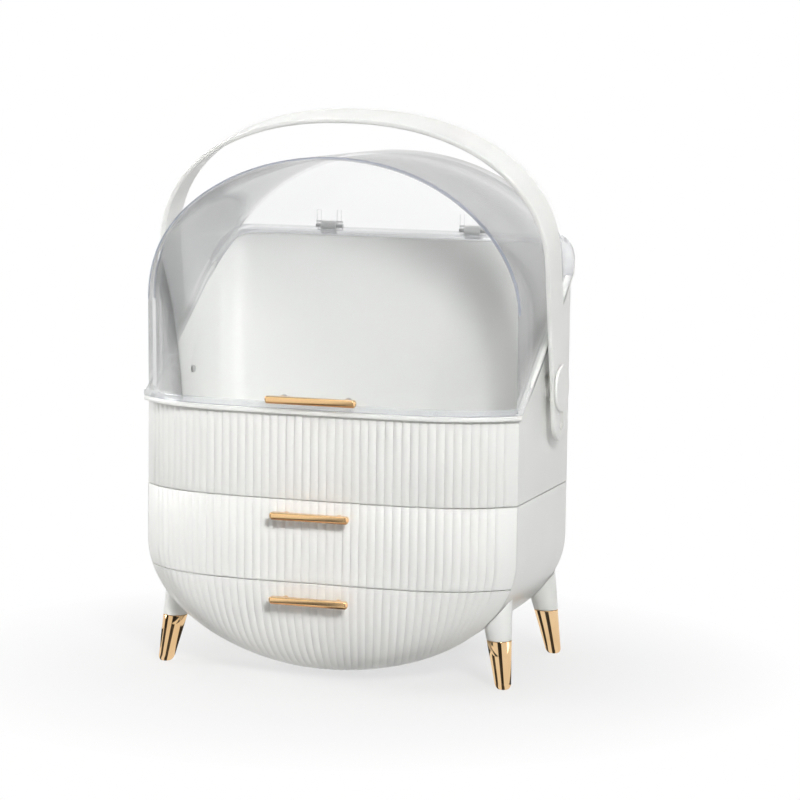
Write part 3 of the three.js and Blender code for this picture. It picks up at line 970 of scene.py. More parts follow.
@dataclass(frozen=True)
class Reeding:
    """Rounded ribs round the bow, in millimetres, cut into the front shells by a Geometry Nodes tree."""

    share: float
    pitch: float = 5.6
    depth: float = 0.8
    facets: int = 8
    margin: float = 0.0015
    narrowing: float = 0.2
    narrowing_power: int = 4
    fade: float = 4.5
    feel: float = 0.5
    samples: int = 6001
    plain_steps: int = 9

    def follow(self, form: BodyForm, share: np.ndarray, reeded: np.ndarray, z: float) -> tuple:
        """Places of the stations at a height, where ribs narrow less than the bowl and run out at its edge.

        Args:
            form: The body.
            share: Places across the full bow.
            reeded: Whether each station is reeded.
            z: Height.

        Returns:
            Places across the bow at this height, and the share of the ribs' depth at each.
        """
        scale = max(form.half(z) / form.half_width, TINY)
        power = self.narrowing + (1 - self.narrowing) * share**self.narrowing_power
        moved = np.clip(share * scale ** (power - 1), -self.share, self.share)
        moved = np.where(reeded > 0, moved, share)
        left = np.clip((self.share - np.abs(moved)) * form.half_width * scale / self.fade, 0, 1)
        return moved, reeded * left * left * (3 - 2 * left)

    def stations(self, form: BodyForm) -> tuple:
        """Places across the bow that follow the ribs.

        Args:
            form: The body.

        Returns:
            Shares from -1 to 1, the rib number at each, and whether each is reeded.
        """
        fine = np.linspace(-self.share, self.share, self.samples)
        steps = np.hypot(np.diff(fine * form.half_width), np.diff(form.bow(fine)))
        run = np.concatenate([[0], np.cumsum(steps)])
        count = round(run[-1] / self.pitch)
        along = np.linspace(0, run[-1], count * self.facets + 1)
        ribs = np.interp(along, run, fine)
        start = math.asin(self.share + self.margin)
        plain = np.sin(np.linspace(start, math.pi / 2, self.plain_steps))
        none = np.zeros_like(plain)
        shares = np.concatenate([-plain[::-1], ribs, plain])
        number = np.concatenate([none, along * count / run[-1], none + count])
        reeded = np.concatenate([none, np.ones_like(ribs), none])
        return shares, number, reeded

    def inward(self, form: BodyForm, share: np.ndarray, z: float, inset: float) -> np.ndarray:
        """Direction into the shell at each station, shrinking with the bowl.

        Args:
            form: The body.
            share: Places across the bow.
            z: Height.
            inset: How far inside the outer face.

        Returns:
            Vectors of shape (n, 3), of length one where the body is full.
        """
        step = self.feel / form.half_width
        run = form.front(share + step, z, inset) - form.front(share - step, z, inset)
        bowl, scale = form.bowl(z, inset), math.sqrt(form.half(z, inset) / form.half_width)
        level = bowl * scale / np.maximum(np.hypot(run[:, 0], run[:, 1]), TINY)
        lift = np.full(len(share), scale * math.sqrt(max(0.0, 1 - bowl**2)))
        return np.column_stack([-run[:, 1] * level, run[:, 0] * level, lift])

    def tree(self) -> GeometryTree:
        """Builds the tree that presses the grooves in between the ribs.

        Returns:
            The tree.
        """
        made = GeometryTree("reeding")
        depth = made.ask("Rib depth")
        crown = made.sum("MULTIPLY", made.sum("FRACT", made.stored("rib_number", "FLOAT")), 2.0)
        crown = made.sum("SUBTRACT", crown, 1.0)
        press = made.sum("MULTIPLY", made.sum("MULTIPLY", crown, crown), depth)
        offset = made.add(
            "ShaderNodeVectorMath",
            {0: made.stored("rib_inward", "FLOAT_VECTOR"), "Scale": press},
            operation="SCALE",
        )
        inputs = {"Geometry": made.start.outputs[0], "Offset": offset.outputs[0]}
        made.close(made.add("GeometryNodeSetPosition", inputs).outputs[0])
        return made

    def press(self, made: bpy.types.Object, number: np.ndarray, inward: np.ndarray, finish: Finish) -> None:
        """Cuts the ribs into a loft.

        Args:
            made: Unwelded loft.
            number: Rib number of each point.
            inward: Direction of each point, zero where it stays.
            finish: Finish that the tree sets.
        """
        store(made, "rib_number", number)
        store(made, "rib_inward", inward)
        self.tree().run(made, {"Rib depth": self.depth * MM, "Finish": finish.material})
        for name in ("rib_number", "rib_inward"):
            made.data.attributes.remove(made.data.attributes[name])
        weld(made)


@dataclass(frozen=True)
class LidForm:
    """The arched clear lid, whose front leans back from the bow to the arch edge, in millimetres."""

    body: BodyForm
    top_z: float = 340.0
    arch_rise: float = 96.0
    edge_y: float = -56.0
    low_z: float = 168.0
    wall: float = 2.2
    flange: float = 3.5
    columns: int = 140
    rows: int = 26

    def front_at(self, share: np.ndarray, z: np.ndarray) -> np.ndarray:
        """Depth of the leaning front.

        Args:
            share: Places across the bow.
            z: Heights.

        Returns:
            A depth for each place.
        """
        lean = (z - self.body.rim_front_z) / (self.top_z - self.body.rim_front_z)
        bow_y = self.body.corner_y - self.body.bow(share)
        return bow_y + (self.edge_y - bow_y) * lean

    def block(self, inset: float) -> bpy.types.Object:
        """The lid as a solid.

        Args:
            inset: How far inside the outer face.

        Returns:
            The welded block.
        """
        body = self.body
        turn = np.linspace(-0.5, 0.5, self.columns + 1) * math.pi
        share, x = np.sin(turn), (body.half_width - inset) * np.sin(turn)
        top = self.top_z - self.arch_rise + (self.arch_rise - inset) * np.cos(turn)
        radius, centre = body.corner_radius - inset, body.half_width - body.corner_radius
        reach = np.clip(np.abs(x) - centre, 0, radius)
        back_y = body.back_y - body.corner_radius + np.sqrt(radius**2 - reach**2)
        rows = []
        for v in np.linspace(0, 1, self.rows):
            z = self.low_z + (top - self.low_z) * v
            front = np.column_stack([x, self.front_at(share, z) + inset, z])
            rows.append(np.concatenate([front, np.column_stack([x, back_y, z])[::-1]]))
        return weld(loft("lid_block", rows, Cap.STRIP))


@dataclass
class Hinges:
    """Paired lid hinges at the back, in millimetres."""

    body: BodyForm
    spacing: float = 104.0
    z: float = 286.0
    y: float = 88.25
    barrel: float = 3.5
    knuckle: float = 11.0
    ear: float = 3.0
    ear_rise: float = 11.0
    side_gap: float = 0.4
    knuckle_root: float = 1.5
    pin: float = 1.5
    pin_proud: float = 1.0
    pin_edge: float = 0.35
    pin_round: float = 0.1
    pin_sides: int = 32
    bore_gap: float = 0.1

    def span(self, side: int, margin: float) -> tuple:
        """Limits of a knuckle along X, grown by a margin."""
        x = side * self.spacing / 2
        return x - self.knuckle / 2 - margin, x + self.knuckle / 2 + margin

    def pin_hole(self, side: int) -> bpy.types.Object:
        """The bore of a hinge pin."""
        reach = self.side_gap + self.ear + OVERRUN
        return rod(self.pin + self.bore_gap, self.span(side, reach), (self.y, self.z))

    def add_knuckles(self, tray: bpy.types.Object) -> None:
        """Joins the two bored knuckles to the tray.

        Args:
            tray: The tray's shell.
        """
        body = self.body
        for _, side in SIDES:
            root_y = (body.back_y + body.fit_gap, self.y + self.barrel / 2)
            root_z = (body.rim_back_z - self.knuckle_root, self.z)
            combine(tray, Cut.JOIN, rod(self.barrel, self.span(side, 0), (self.y, self.z)))
            combine(tray, Cut.JOIN, box(self.span(side, 0), root_y, root_z))
            combine(tray, Cut.REMOVE, self.pin_hole(side))

    def add_ears(self, lid: bpy.types.Object, wall: float) -> None:
        """Notches the lid round the knuckles and joins its ears.

        Args:
            lid: The lid's shell.
            wall: Thickness of the lid.
        """
        body = self.body
        for _, side in SIDES:
            notch = self.span(side, self.side_gap)
            heights = (body.rim_back_z, self.z + self.barrel)
            combine(lid, Cut.REMOVE, box(notch, (body.back_y, 2 * body.back_y), heights))
            combine(lid, Cut.REMOVE, rod(self.barrel + self.side_gap, notch, (self.y, self.z)))
            for end in (-1, 1):
                near = side * self.spacing / 2 + end * (self.knuckle / 2 + self.side_gap)
                span = tuple(sorted((near, near + end * self.ear)))
                combine(lid, Cut.JOIN, rod(self.barrel, span, (self.y, self.z)))
                ear_z = (self.z, self.z + self.ear_rise)
                combine(lid, Cut.JOIN, box(span, (body.back_y - wall / 2, self.y), ear_z))
            combine(lid, Cut.REMOVE, self.pin_hole(side))

    def build_pins(self, finish: Finish) -> bpy.types.Object:
        """Makes the two hinge pins with rounded ends.

        Args:
            finish: Their finish.

        Returns:
            The pins as one piece of the lid.
        """
        parts = []
        turn = Matrix.Rotation(math.pi / 2, 4, "Y")
        for _, side in SIDES:
            low, high = self.span(side, self.side_gap + self.ear + self.pin_proud)
            profile = [(0, 0), (self.pin - self.pin_edge, 0)]
            profile += [(self.pin - self.pin_round, self.pin_round), (self.pin, self.pin_edge)]
            profile += [(r, high - low - z) for r, z in profile[::-1]]
            pin = lathe("pin", profile, self.pin_sides)
            parts.append(place(pin, Matrix.Translation((low, self.y, self.z)) @ turn))
        made = join("hinge_pins", parts)
        shade(made)
        finish.dress(made)
        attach(made, "lid")
        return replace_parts(made, "hinge_pin_left", "hinge_pin_right")


def join(name: str, parts: list) -> bpy.types.Object:
    """Gathers meshes into one object without cutting them.

    Args:
        name: Name of the result.
        parts: Objects that are used up.

    Returns:
        The joined object.
    """
    grid = bmesh.new()
    for part in parts:
        grid.from_mesh(part.data)
        bpy.data.objects.remove(part)
    mesh = bpy.data.meshes.new(name)
    grid.to_mesh(mesh)
    grid.free()
    made = bpy.data.objects.new(name, mesh)
    bpy.context.scene.collection.objects.link(made)
    return made


# Sub-assemblies


@dataclass
class Cabinet:
    """The open-fronted white shell round the two drawers."""

    body: BodyForm
    shelf: float = 2.5
    mouth: float = 6.0

    def build(self) -> bpy.types.Object:
        """Makes the shell with its two bays.

        Returns:
            The shell.
        """
        body = self.body
        top = body.upper_seam_z - body.seam_gap / 2
        made = body.block(body.bottom_z, top, 0, near=body.corner_y + body.fit_gap / 2)
        made.name = "cabinet"
        low = body.lower_seam_z - self.shelf / 2
        for span in ((body.bottom_z, low), (body.lower_seam_z + self.shelf / 2, top + OVERRUN)):
            bay = body.block(*span, body.wall)
            ahead = place(body.block(*span, body.wall), Matrix.Translation((0, -self.mouth, 0)))
            combine(bay, Cut.JOIN, ahead)
            combine(made, Cut.REMOVE, bay)
        return shade(made)

    def dress(self, finish: Finish) -> None:
        """Builds and finishes the shell.

        Args:
            finish: Its finish.
        """
        made = finish.dress(self.build())
        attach(made, "cabinet")
        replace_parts(made, "cabinet_shell")


@dataclass
class Tray:
    """The deep open tray with its lip, locating skirt, pivot bosses and hinge knuckles, in millimetres."""

    body: BodyForm
    hinges: Hinges
    reeding: Reeding = Reeding(share=0.975)
    lip: float = 3.0
    floor: float = 3.0
    skirt_depth: float = 4.0
    skirt_wall: float = 2.0
    skirt_start: float = 3.3
    skirt_mouth: float = 6.0
    edge: float = 0.45
    low_round: float = 0.12
    fillet: float = 1.2
    fillet_middle: float = 0.35
    pivot: Pivot = Pivot()
    boss_radius: float = 9.0
    boss_sides: int = 64

    def shell(self, finish: Finish) -> bpy.types.Object:
        """Lofts the walls, lip and floor and cuts the ribs.

        Args:
            finish: Finish of the shell.

        Returns:
            The welded shell.
        """
        body, edge = self.body, self.edge
        share, number, reeded = self.reeding.stations(body)
        low = body.upper_seam_z + body.seam_gap / 2
        floor_z = low + self.floor
        out, inside, middle = -body.lip_overhang, body.wall, edge * ROUND_SHARE
        _, reeded = self.reeding.follow(body, share, reeded, low)
        bottom = ((low, edge), (low + self.low_round, self.low_round), (low + edge, 0))
        ribbed = [(body.ring(z, inset, share), z, inset) for z, inset in bottom]
        ribbed.append((body.rim_ring(-self.lip, 0, share), body.rim_front_z, 0))
        rim = [
            (-self.lip, out + edge),
            (-self.lip + middle, out + middle),
            (-self.lip + edge, out),
            (-edge, out),
            (-middle, out + middle),
            (0, out + edge),
            (0, inside - edge),
            (-middle, inside - middle),
            (-edge, inside),
        ]
        floor = [
            (floor_z + self.fillet, inside),
            (floor_z + self.fillet_middle, inside + self.fillet_middle),
            (floor_z, inside + self.fillet),
        ]
        rows = [row for row, _, _ in ribbed]
        rows += [body.rim_ring(offset, inset, share) for offset, inset in rim]
        rows += [body.ring(z, inset, share) for z, inset in floor]
        count, back = len(share), len(rows[0]) - len(share)
        inward = np.zeros((len(rows), count + back, 3))
        for k, (_, z, inset) in enumerate(ribbed):
            inward[k, :count] = self.reeding.inward(body, share, z, inset) * reeded[:, None]
        made = loft("tray", rows)
        numbers = np.tile(np.concatenate([number, np.zeros(back)]), len(rows))
        self.reeding.press(made, numbers, inward.reshape(-1, 3), finish)
        return made

    def build(self, finish: Finish) -> bpy.types.Object:
        """Makes the tray.

        Args:
            finish: Finish of the shell.

        Returns:
            The tray.
        """
        body = self.body
        made = self.shell(finish)
        low = body.upper_seam_z + body.seam_gap / 2
        inset = body.wall + body.fit_gap
        bottom = low - self.skirt_depth
        skirt = body.block(bottom, low + OVERRUN, inset, near=body.corner_y + self.skirt_start)
        hollow = (bottom - OVERRUN, low + 2 * OVERRUN, inset + self.skirt_wall)
        ahead = place(body.block(*hollow), Matrix.Translation((0, -self.skirt_mouth, 0)))
        combine(skirt, Cut.REMOVE, ahead, body.block(*hollow))
        combine(made, Cut.JOIN, skirt)
        lip_x, spot = body.half_width + body.lip_overhang, self.pivot.spot
        for _, side in SIDES:
            boss = (side * (body.half_width - body.wall / 2), side * lip_x)
            combine(made, Cut.JOIN, rod(self.boss_radius, boss, spot, sides=self.boss_sides))
            bore = (side * (body.half_width - body.wall - OVERRUN), side * (lip_x + OVERRUN))
            combine(made, Cut.REMOVE, rod(self.pivot.bore_radius, bore, spot))
        self.hinges.add_knuckles(made)
        return shade(made)

    def dress(self, finish: Finish) -> None:
        """Builds and finishes the tray.

        Args:
            finish: Its finish.
        """
        made = finish.dress(self.build(finish))
        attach(made, "cabinet")
        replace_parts(made, "upper_tray")


@dataclass
class Drawer:
    """A drawer: a reeded front bent round the bow, and a white bin behind it, in millimetres."""

    body: BodyForm
    name: str
    low: float
    high: float
    bin_low: float
    bin_high: float
    pull: PullFit
    reeding: Reeding = Reeding(share=0.945)
    front_wall: float = 3.0
    bin_wall: float = 1.8
    bin_back_y: float = 77.25
    edge: float = 0.4
    belly_gap: float = 0.8
    belly_rows: int = 7
    bowl_start: float = 0.02
    bowl_rows: int = 48

    def levels(self) -> list:
        """Outer inset, outer height and inner height of each ring of the front.

        Returns:
            Triples from the top down.
        """
        body, edge, middle = self.body, self.edge, self.edge * ROUND_SHARE
        rounding = ((edge, 0), (middle, middle), (0, edge))
        made = [(inset, self.high - drop, self.high - drop) for inset, drop in rounding]
        if self.low > body.lower_seam_z:
            belly = np.linspace(body.belly_z, body.lower_seam_z + self.belly_gap, self.belly_rows)
            made += [(0, z, z) for z in belly]
            return made + [(inset, self.low + rise, self.low + rise) for inset, rise in rounding[::-1]]
        depth = body.lower_seam_z - body.bottom_z
        for turn in np.linspace(self.bowl_start, math.pi / 2, self.bowl_rows):
            outer = body.lower_seam_z - depth * math.sin(turn)
            made.append((0, outer, body.lower_seam_z - (depth - self.front_wall) * math.sin(turn)))
        return made

    def build_front(self, finish: Finish) -> bpy.types.Object:
        """Lofts the front panel and cuts its ribs and screw holes.

        Args:
            finish: Finish of the panel.

        Returns:
            The panel.
        """
        body = self.body
        share, number, reeded = self.reeding.stations(body)
        limit = body.corner_y - body.fit_gap / 2
        rows, inward = [], []
        for inset, outer_z, inner_z in self.levels():
            spots, depth = self.reeding.follow(body, share, reeded, outer_z)
            outer = body.front(spots, outer_z, inset)
            inner = body.front(spots, inner_z, self.front_wall)[::-1]
            row = np.concatenate([outer, inner])
            row[:, 1] = np.minimum(row[:, 1], limit)
            rows.append(row)
            push = self.reeding.inward(body, spots, outer_z, inset) * depth[:, None]
            inward.append(np.concatenate([push, np.zeros_like(push)]))
        made = loft(f"{self.name}_front", rows, Cap.STRIP)
        numbers = np.tile(np.concatenate([number, number[::-1]]), len(rows))
        self.reeding.press(made, numbers, np.concatenate(inward), finish)
        combine(made, Cut.REMOVE, *self.pull.panel_bores(body))
        return shade(made)

    def build_bin(self) -> bpy.types.Object:
        """Makes the open-topped bin with screw holes.

        Returns:
            The bin.
        """
        body, wall = self.body, self.bin_wall
        inset = self.front_wall + body.fit_gap
        made = body.block(self.bin_low, self.bin_high, inset, far=self.bin_back_y)
        made.name = f"{self.name}_bin"
        low = max(self.bin_low, body.bottom_z + inset) + wall
        hollow = body.block(low, self.bin_high + OVERRUN, inset + wall, far=self.bin_back_y - wall)
        combine(made, Cut.REMOVE, hollow, *self.pull.panel_bores(body))
        return shade(made)

    def dress(self, finish: Finish) -> None:
        """Builds and finishes the front and the bin.

        Args:
            finish: Finish of both.
        """
        for made, part in ((self.build_front(finish), "front"), (self.build_bin(), "bin")):
            finish.dress(made)
            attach(made, self.name)
            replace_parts(made, f"{self.name}_{part}")


@dataclass(frozen=True)
class Drawers:
    """Where the two drawers lie between the seams, in millimetres."""

    body: BodyForm
    shelf: float
    upper_pull: PullFit = PullFit(z=111.0, length=54.0)
    lower_pull: PullFit = PullFit(z=56.0, length=54.0)
    headroom: float = 5.0

    def make(self) -> tuple:
        """Makes the upper and the lower drawer, not built yet.

        Returns:
            The upper and the lower drawer.
        """
        body, shelf = self.body, self.shelf / 2
        gap, seam, top = body.seam_gap / 2, body.lower_seam_z, body.upper_seam_z
        upper = Drawer(
            body,
            "drawer_upper",
            low=seam + gap,
            high=top - gap,
            bin_low=seam + shelf + body.seam_gap,
            bin_high=top - self.headroom,
            pull=self.upper_pull,
        )
        lower = Drawer(
            body,
            "drawer_lower",
            low=body.bottom_z,
            high=seam - gap,
            bin_low=body.bottom_z,
            bin_high=seam - shelf - self.headroom,
            pull=self.lower_pull,
        )
        return upper, lower


@dataclass
class Lid:
    """The clear lid with its rim flange and hinge ears, in millimetres."""

    form: LidForm
    hinges: Hinges
    pull: PullFit
    edge: float = 1.5
    inner_edge: float = 0.75
    rounded_turn: float = 35.0
    sharp_turn: float = 38.0
    band_top: float = 300.0
    under_z: float = 100.0
    over_z: float = 400.0
    edge_samples: int = 721
    edge_reach: float = 99.0

    def build(self) -> bpy.types.Object:
        """Makes the lid's shell.

        Returns:
            The shell.
        """
        form, body = self.form, self.form.body
        made = soften(form.block(0), self.edge, self.rounded_turn)
        made.name = "lid"
        band = body.block(body.rim_front_z - OVERRUN, self.band_top, -body.lip_overhang)
        combine(band, Cut.KEEP, body.beyond_rim(body.fit_gap + form.flange, self.under_z))
        combine(made, Cut.JOIN, band)
        combine(made, Cut.KEEP, body.beyond_rim(body.fit_gap, self.over_z))
        combine(made, Cut.REMOVE, soften(form.block(form.wall), self.inner_edge, self.rounded_turn))
        combine(made, Cut.REMOVE, *self.pull.panel_bores(body))
        self.hinges.add_ears(made, form.wall)
        self.mark_edge(made)
        return shade(made, self.sharp_turn)

    def mark_edge(self, made: bpy.types.Object) -> None:
        """Stores how far each point lies from the arch edge and above the rim, where the clear finish
        paints darker shade lines.

        Args:
            made: The lid's shell.
        """
        form, body = self.form, self.form.body
        turn = np.linspace(-0.5, 0.5, self.edge_samples) * math.pi
        share, z = np.sin(turn), form.top_z - form.arch_rise + form.arch_rise * np.cos(turn)
        line = np.column_stack([body.half_width * share, form.front_at(share, z), z])
        points = spots(made)
        near = np.full(len(points), self.edge_reach)
        for spot in line:
            near = np.minimum(near, np.linalg.norm(points - spot, axis=1))
        store(made, "edge_near", near)
        store(made, "rim_rise", points[:, 2] - body.rim(points[:, 1]))

    def dress(self, finish: Finish) -> None:
        """Builds and finishes the lid.

        Args:
            finish: Its finish.
        """
        made = finish.dress(self.build())
        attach(made, "lid")
        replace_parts(made, "lid_shell")


@dataclass
class CarryHandle:
    """A flat strap bent to an arch, leaning forward at rest, slotted at its pivots, in millimetres."""

    width: float = 30.0
    thickness: float = 3.2
    inner: float = 132.2
    spring: float = 84.0
    rise: float = 93.4
    power: float = 2.2
    tail: float = 35.6
    slot_width: float = 9.0
    slot_tail: float = 28.5
    lean: float = 11.54
    pivot: Pivot = Pivot()
    edge: float = 1.1
    edge_steps: int = 6
    arch_steps: int = 120
    side_steps: int = 12
    tail_steps: int = 14
    slot_steps: int = 17

    def section(self) -> np.ndarray:
        """Rounded section of the strap.

        Returns:
            Pairs of distance out from the inner face and place across the strap.
        """
        points = []
        corners = ((1, 1, 0), (0, 1, 90), (0, 0, 180), (1, 0, 270))
        for out, across, start in corners:
            centre = (
                self.thickness - self.edge if out else self.edge,
                self.width / 2 - self.edge if across else self.edge - self.width / 2,
            )
            for turn in np.radians(np.linspace(start, start + 90, self.edge_steps)):
                step = (self.edge * math.cos(turn), self.edge * math.sin(turn))
                points.append((centre[0] + step[0], centre[1] + step[1]))
        return np.array(points)

    def path(self) -> list:
        """Inner and outer place of the strap and its share of full width, from right tail to left tail.

        Returns:
            For each stop, the inner place, the outer place and the share.
        """
        outer = self.inner + self.thickness
        half = self.width / 2
        turns = np.linspace(0, math.pi / 2, self.tail_steps)
        stops = [(-self.tail + half * (1 - math.cos(a)), math.sin(a)) for a in turns]
        stops += [(h, 1.0) for h in np.linspace(half - self.tail, self.spring, self.side_steps)[1:-1]]
        right = [((self.inner, h), (outer, h), share) for h, share in stops]
        left = [((-self.inner, h), (-outer, h), share) for h, share in stops[::-1]]
        arch = []
        for turn in np.linspace(0, math.pi, self.arch_steps + 1):
            c = math.copysign(abs(math.cos(turn)) ** (2 / self.power), math.cos(turn))
            s = abs(math.sin(turn)) ** (2 / self.power)
            near = (self.inner * c, self.spring + self.rise * s)
            far = (outer * c, self.spring + (self.rise + self.thickness) * s)
            arch.append((near, far, 1.0))
        return right + arch + left

    def build(self) -> bpy.types.Object:
        """Makes the strap with its slots, leaned forward about the pivot.

        Returns:
            The strap.
        """
        section = self.section()
        rows = []
        for near, far, share in self.path():
            out = section[:, 0:1] / self.thickness
            spot = np.array(near) + (np.array(far) - np.array(near)) * out
            rows.append(np.column_stack([spot[:, 0], section[:, 1] * share, spot[:, 1]]))
        made = weld(loft("handle", rows, Cap.NONE))
        half = self.slot_width / 2
        turn = np.linspace(-math.pi, 0, self.slot_steps)
        low = np.column_stack([half * np.cos(turn), half - self.slot_tail + half * np.sin(turn)])
        high = np.column_stack([-low[:, 0], self.slot_width - self.slot_tail - low[:, 1]])
        combine(made, Cut.REMOVE, prism("slot", np.concatenate([low, high])))
        return shade(self.pivot.stand(made, Matrix.Rotation(math.radians(self.lean), 4, "X")))

    def dress(self, finish: Finish) -> None:
        """Builds and finishes the handle.

        Args:
            finish: Its finish.
        """
        made = finish.dress(self.build())
        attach(made, "handle")
        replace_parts(made, "carry_handle")


@dataclass
class PivotCaps:
    """The two round caps that hold the handle, in millimetres.

    The back edge's pairs step in from the rim and outward from the back, and the front edge's pairs step in
    from the rim and back from the front.
    """

    body: BodyForm
    handle: CarryHandle
    thickness: float = 1.8
    radius: float = 15.5
    neck_radius: float = 4.2
    bore_depth: float = 4.8
    back_edge: tuple = ((0.3, 0.0), (0.08, 0.08), (0.0, 0.3))
    front_edge: tuple = ((0.0, 0.9), (0.1, 0.6), (0.35, 0.3), (0.8, 0.1), (1.5, 0.02), (4.0, 0.0))
    sides: int = 72
    sharp_turn: float = 28.0

    def profile(self) -> list:
        """Pairs of radius and distance from the middle of the organizer, from the bore outward.

        Returns:
            The pairs.
        """
        body, handle = self.body, self.handle
        start = body.half_width + body.lip_overhang + body.fit_gap
        back = handle.inner + handle.thickness + body.fit_gap
        front = back + self.thickness
        bore = handle.pivot.bore_radius
        made = [(0, start + self.bore_depth), (bore, start + self.bore_depth)]
        made += [(bore, start), (self.neck_radius, start), (self.neck_radius, back)]
        made += [(self.radius - inward, back + out) for inward, out in self.back_edge]
        made += [(self.radius - inward, front - down) for inward, down in self.front_edge]
        return made + [(0, front)]

    def build(self) -> bpy.types.Object:
        """Makes both caps as one piece.

        Returns:
            The caps.
        """
        parts = []
        for _, side in SIDES:
            cap = lathe("cap", self.profile(), self.sides)
            parts.append(self.handle.pivot.stand(cap, Matrix.Rotation(side * math.pi / 2, 4, "Y")))
        return shade(join("pivot_caps", parts), self.sharp_turn)

    def dress(self, finish: Finish) -> None:
        """Builds and finishes the caps.

        Args:
            finish: Their finish.
        """
        made = finish.dress(self.build())
        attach(made, "handle_pivots")
        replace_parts(made, "pivot_cap_left", "pivot_cap_right")


@dataclass
class Pull:
    """A gold bar on two posts, in millimetres.

    The tips are pairs of a step in from the bar's end and the share of its section there.
    """

    body: BodyForm
    name: str
    body_name: str
    fit: PullFit
    standoff: float = 7.5
    half: float = 2.5
    top_edge: float = 0.6
    low_edge: float = 2.2
    edge_steps: int = 7
    tips: tuple = ((0.0, 0.15), (0.3, 0.42), (0.9, 0.76), (1.6, 0.97), (1.9, 1.0))
    post_radius: float = 2.2
    post_seat: float = 2.5
    bore_ahead: float = 4.6
    # How the painted shade grows below the bar's middle
    shade_slope: float = 0.95
    shade_start: float = 0.1
    shade_power: float = 1.5
    sharp_turn: float = 40.0

    def section(self) -> np.ndarray:
        """Pairs of depth and height round the bar, sharper above than below.

        Returns:
            Array of shape (n, 2), in millimetres.
        """
        points = []
        for a, b, start in ((1, 1, 0), (-1, 1, 90), (-1, -1, 180), (1, -1, 270)):
            edge = self.top_edge if b > 0 else self.low_edge
            flat = self.half - edge
            for turn in np.radians(np.linspace(start, start + 90, self.edge_steps)):
                points.append((a * flat + edge * math.cos(turn), b * flat + edge * math.sin(turn)))
        return np.array(points)

    def build(self, face: bpy.types.Object) -> bpy.types.Object:
        """Makes the bar and its posts, cut to stand off the face behind them, and stores a share of painted
        shade that grows toward the bar's underside.

        Args:
            face: Solid that the posts end at, used up.

        Returns:
            The pull.
        """
        front_y, section = self.body.front_y, self.section()
        centre = (front_y - self.standoff, self.fit.z)
        end = self.fit.length / 2
        stops = [(step - end, share) for step, share in self.tips]
        stops += [(end - step, share) for step, share in self.tips[::-1]]
        rows = [np.column_stack([np.full(len(section), x), centre + section * share]) for x, share in stops]
        made = weld(loft(self.name, rows))
        made.name = self.name
        for x in self.fit.posts():
            post = rod(self.post_radius, (centre[0], front_y + self.post_seat), (x, self.fit.z), "Y")
            combine(made, Cut.JOIN, post)
        combine(made, Cut.REMOVE, face)
        combine(made, Cut.REMOVE, *self.fit.bores(front_y - self.bore_ahead, self.body.corner_y))
        # Share of painted shade at each point, larger further below the bar's middle
        below = (self.fit.z - spots(made)[:, 2]) / self.half
        low_shade = np.clip(below * self.shade_slope + self.shade_start, 0, 1)
        store(made, "painted_shade_below", low_shade**self.shade_power)
        return shade(made, self.sharp_turn)

    def dress(self, face: bpy.types.Object, finish: Finish) -> None:
        """Builds and finishes the pull.

        Args:
            face: Solid that the posts end at, used up.
            finish: Its finish.
        """
        made = finish.dress(self.build(face))
        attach(made, self.body_name)
        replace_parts(made, self.name.replace("_bar", "_pull"))


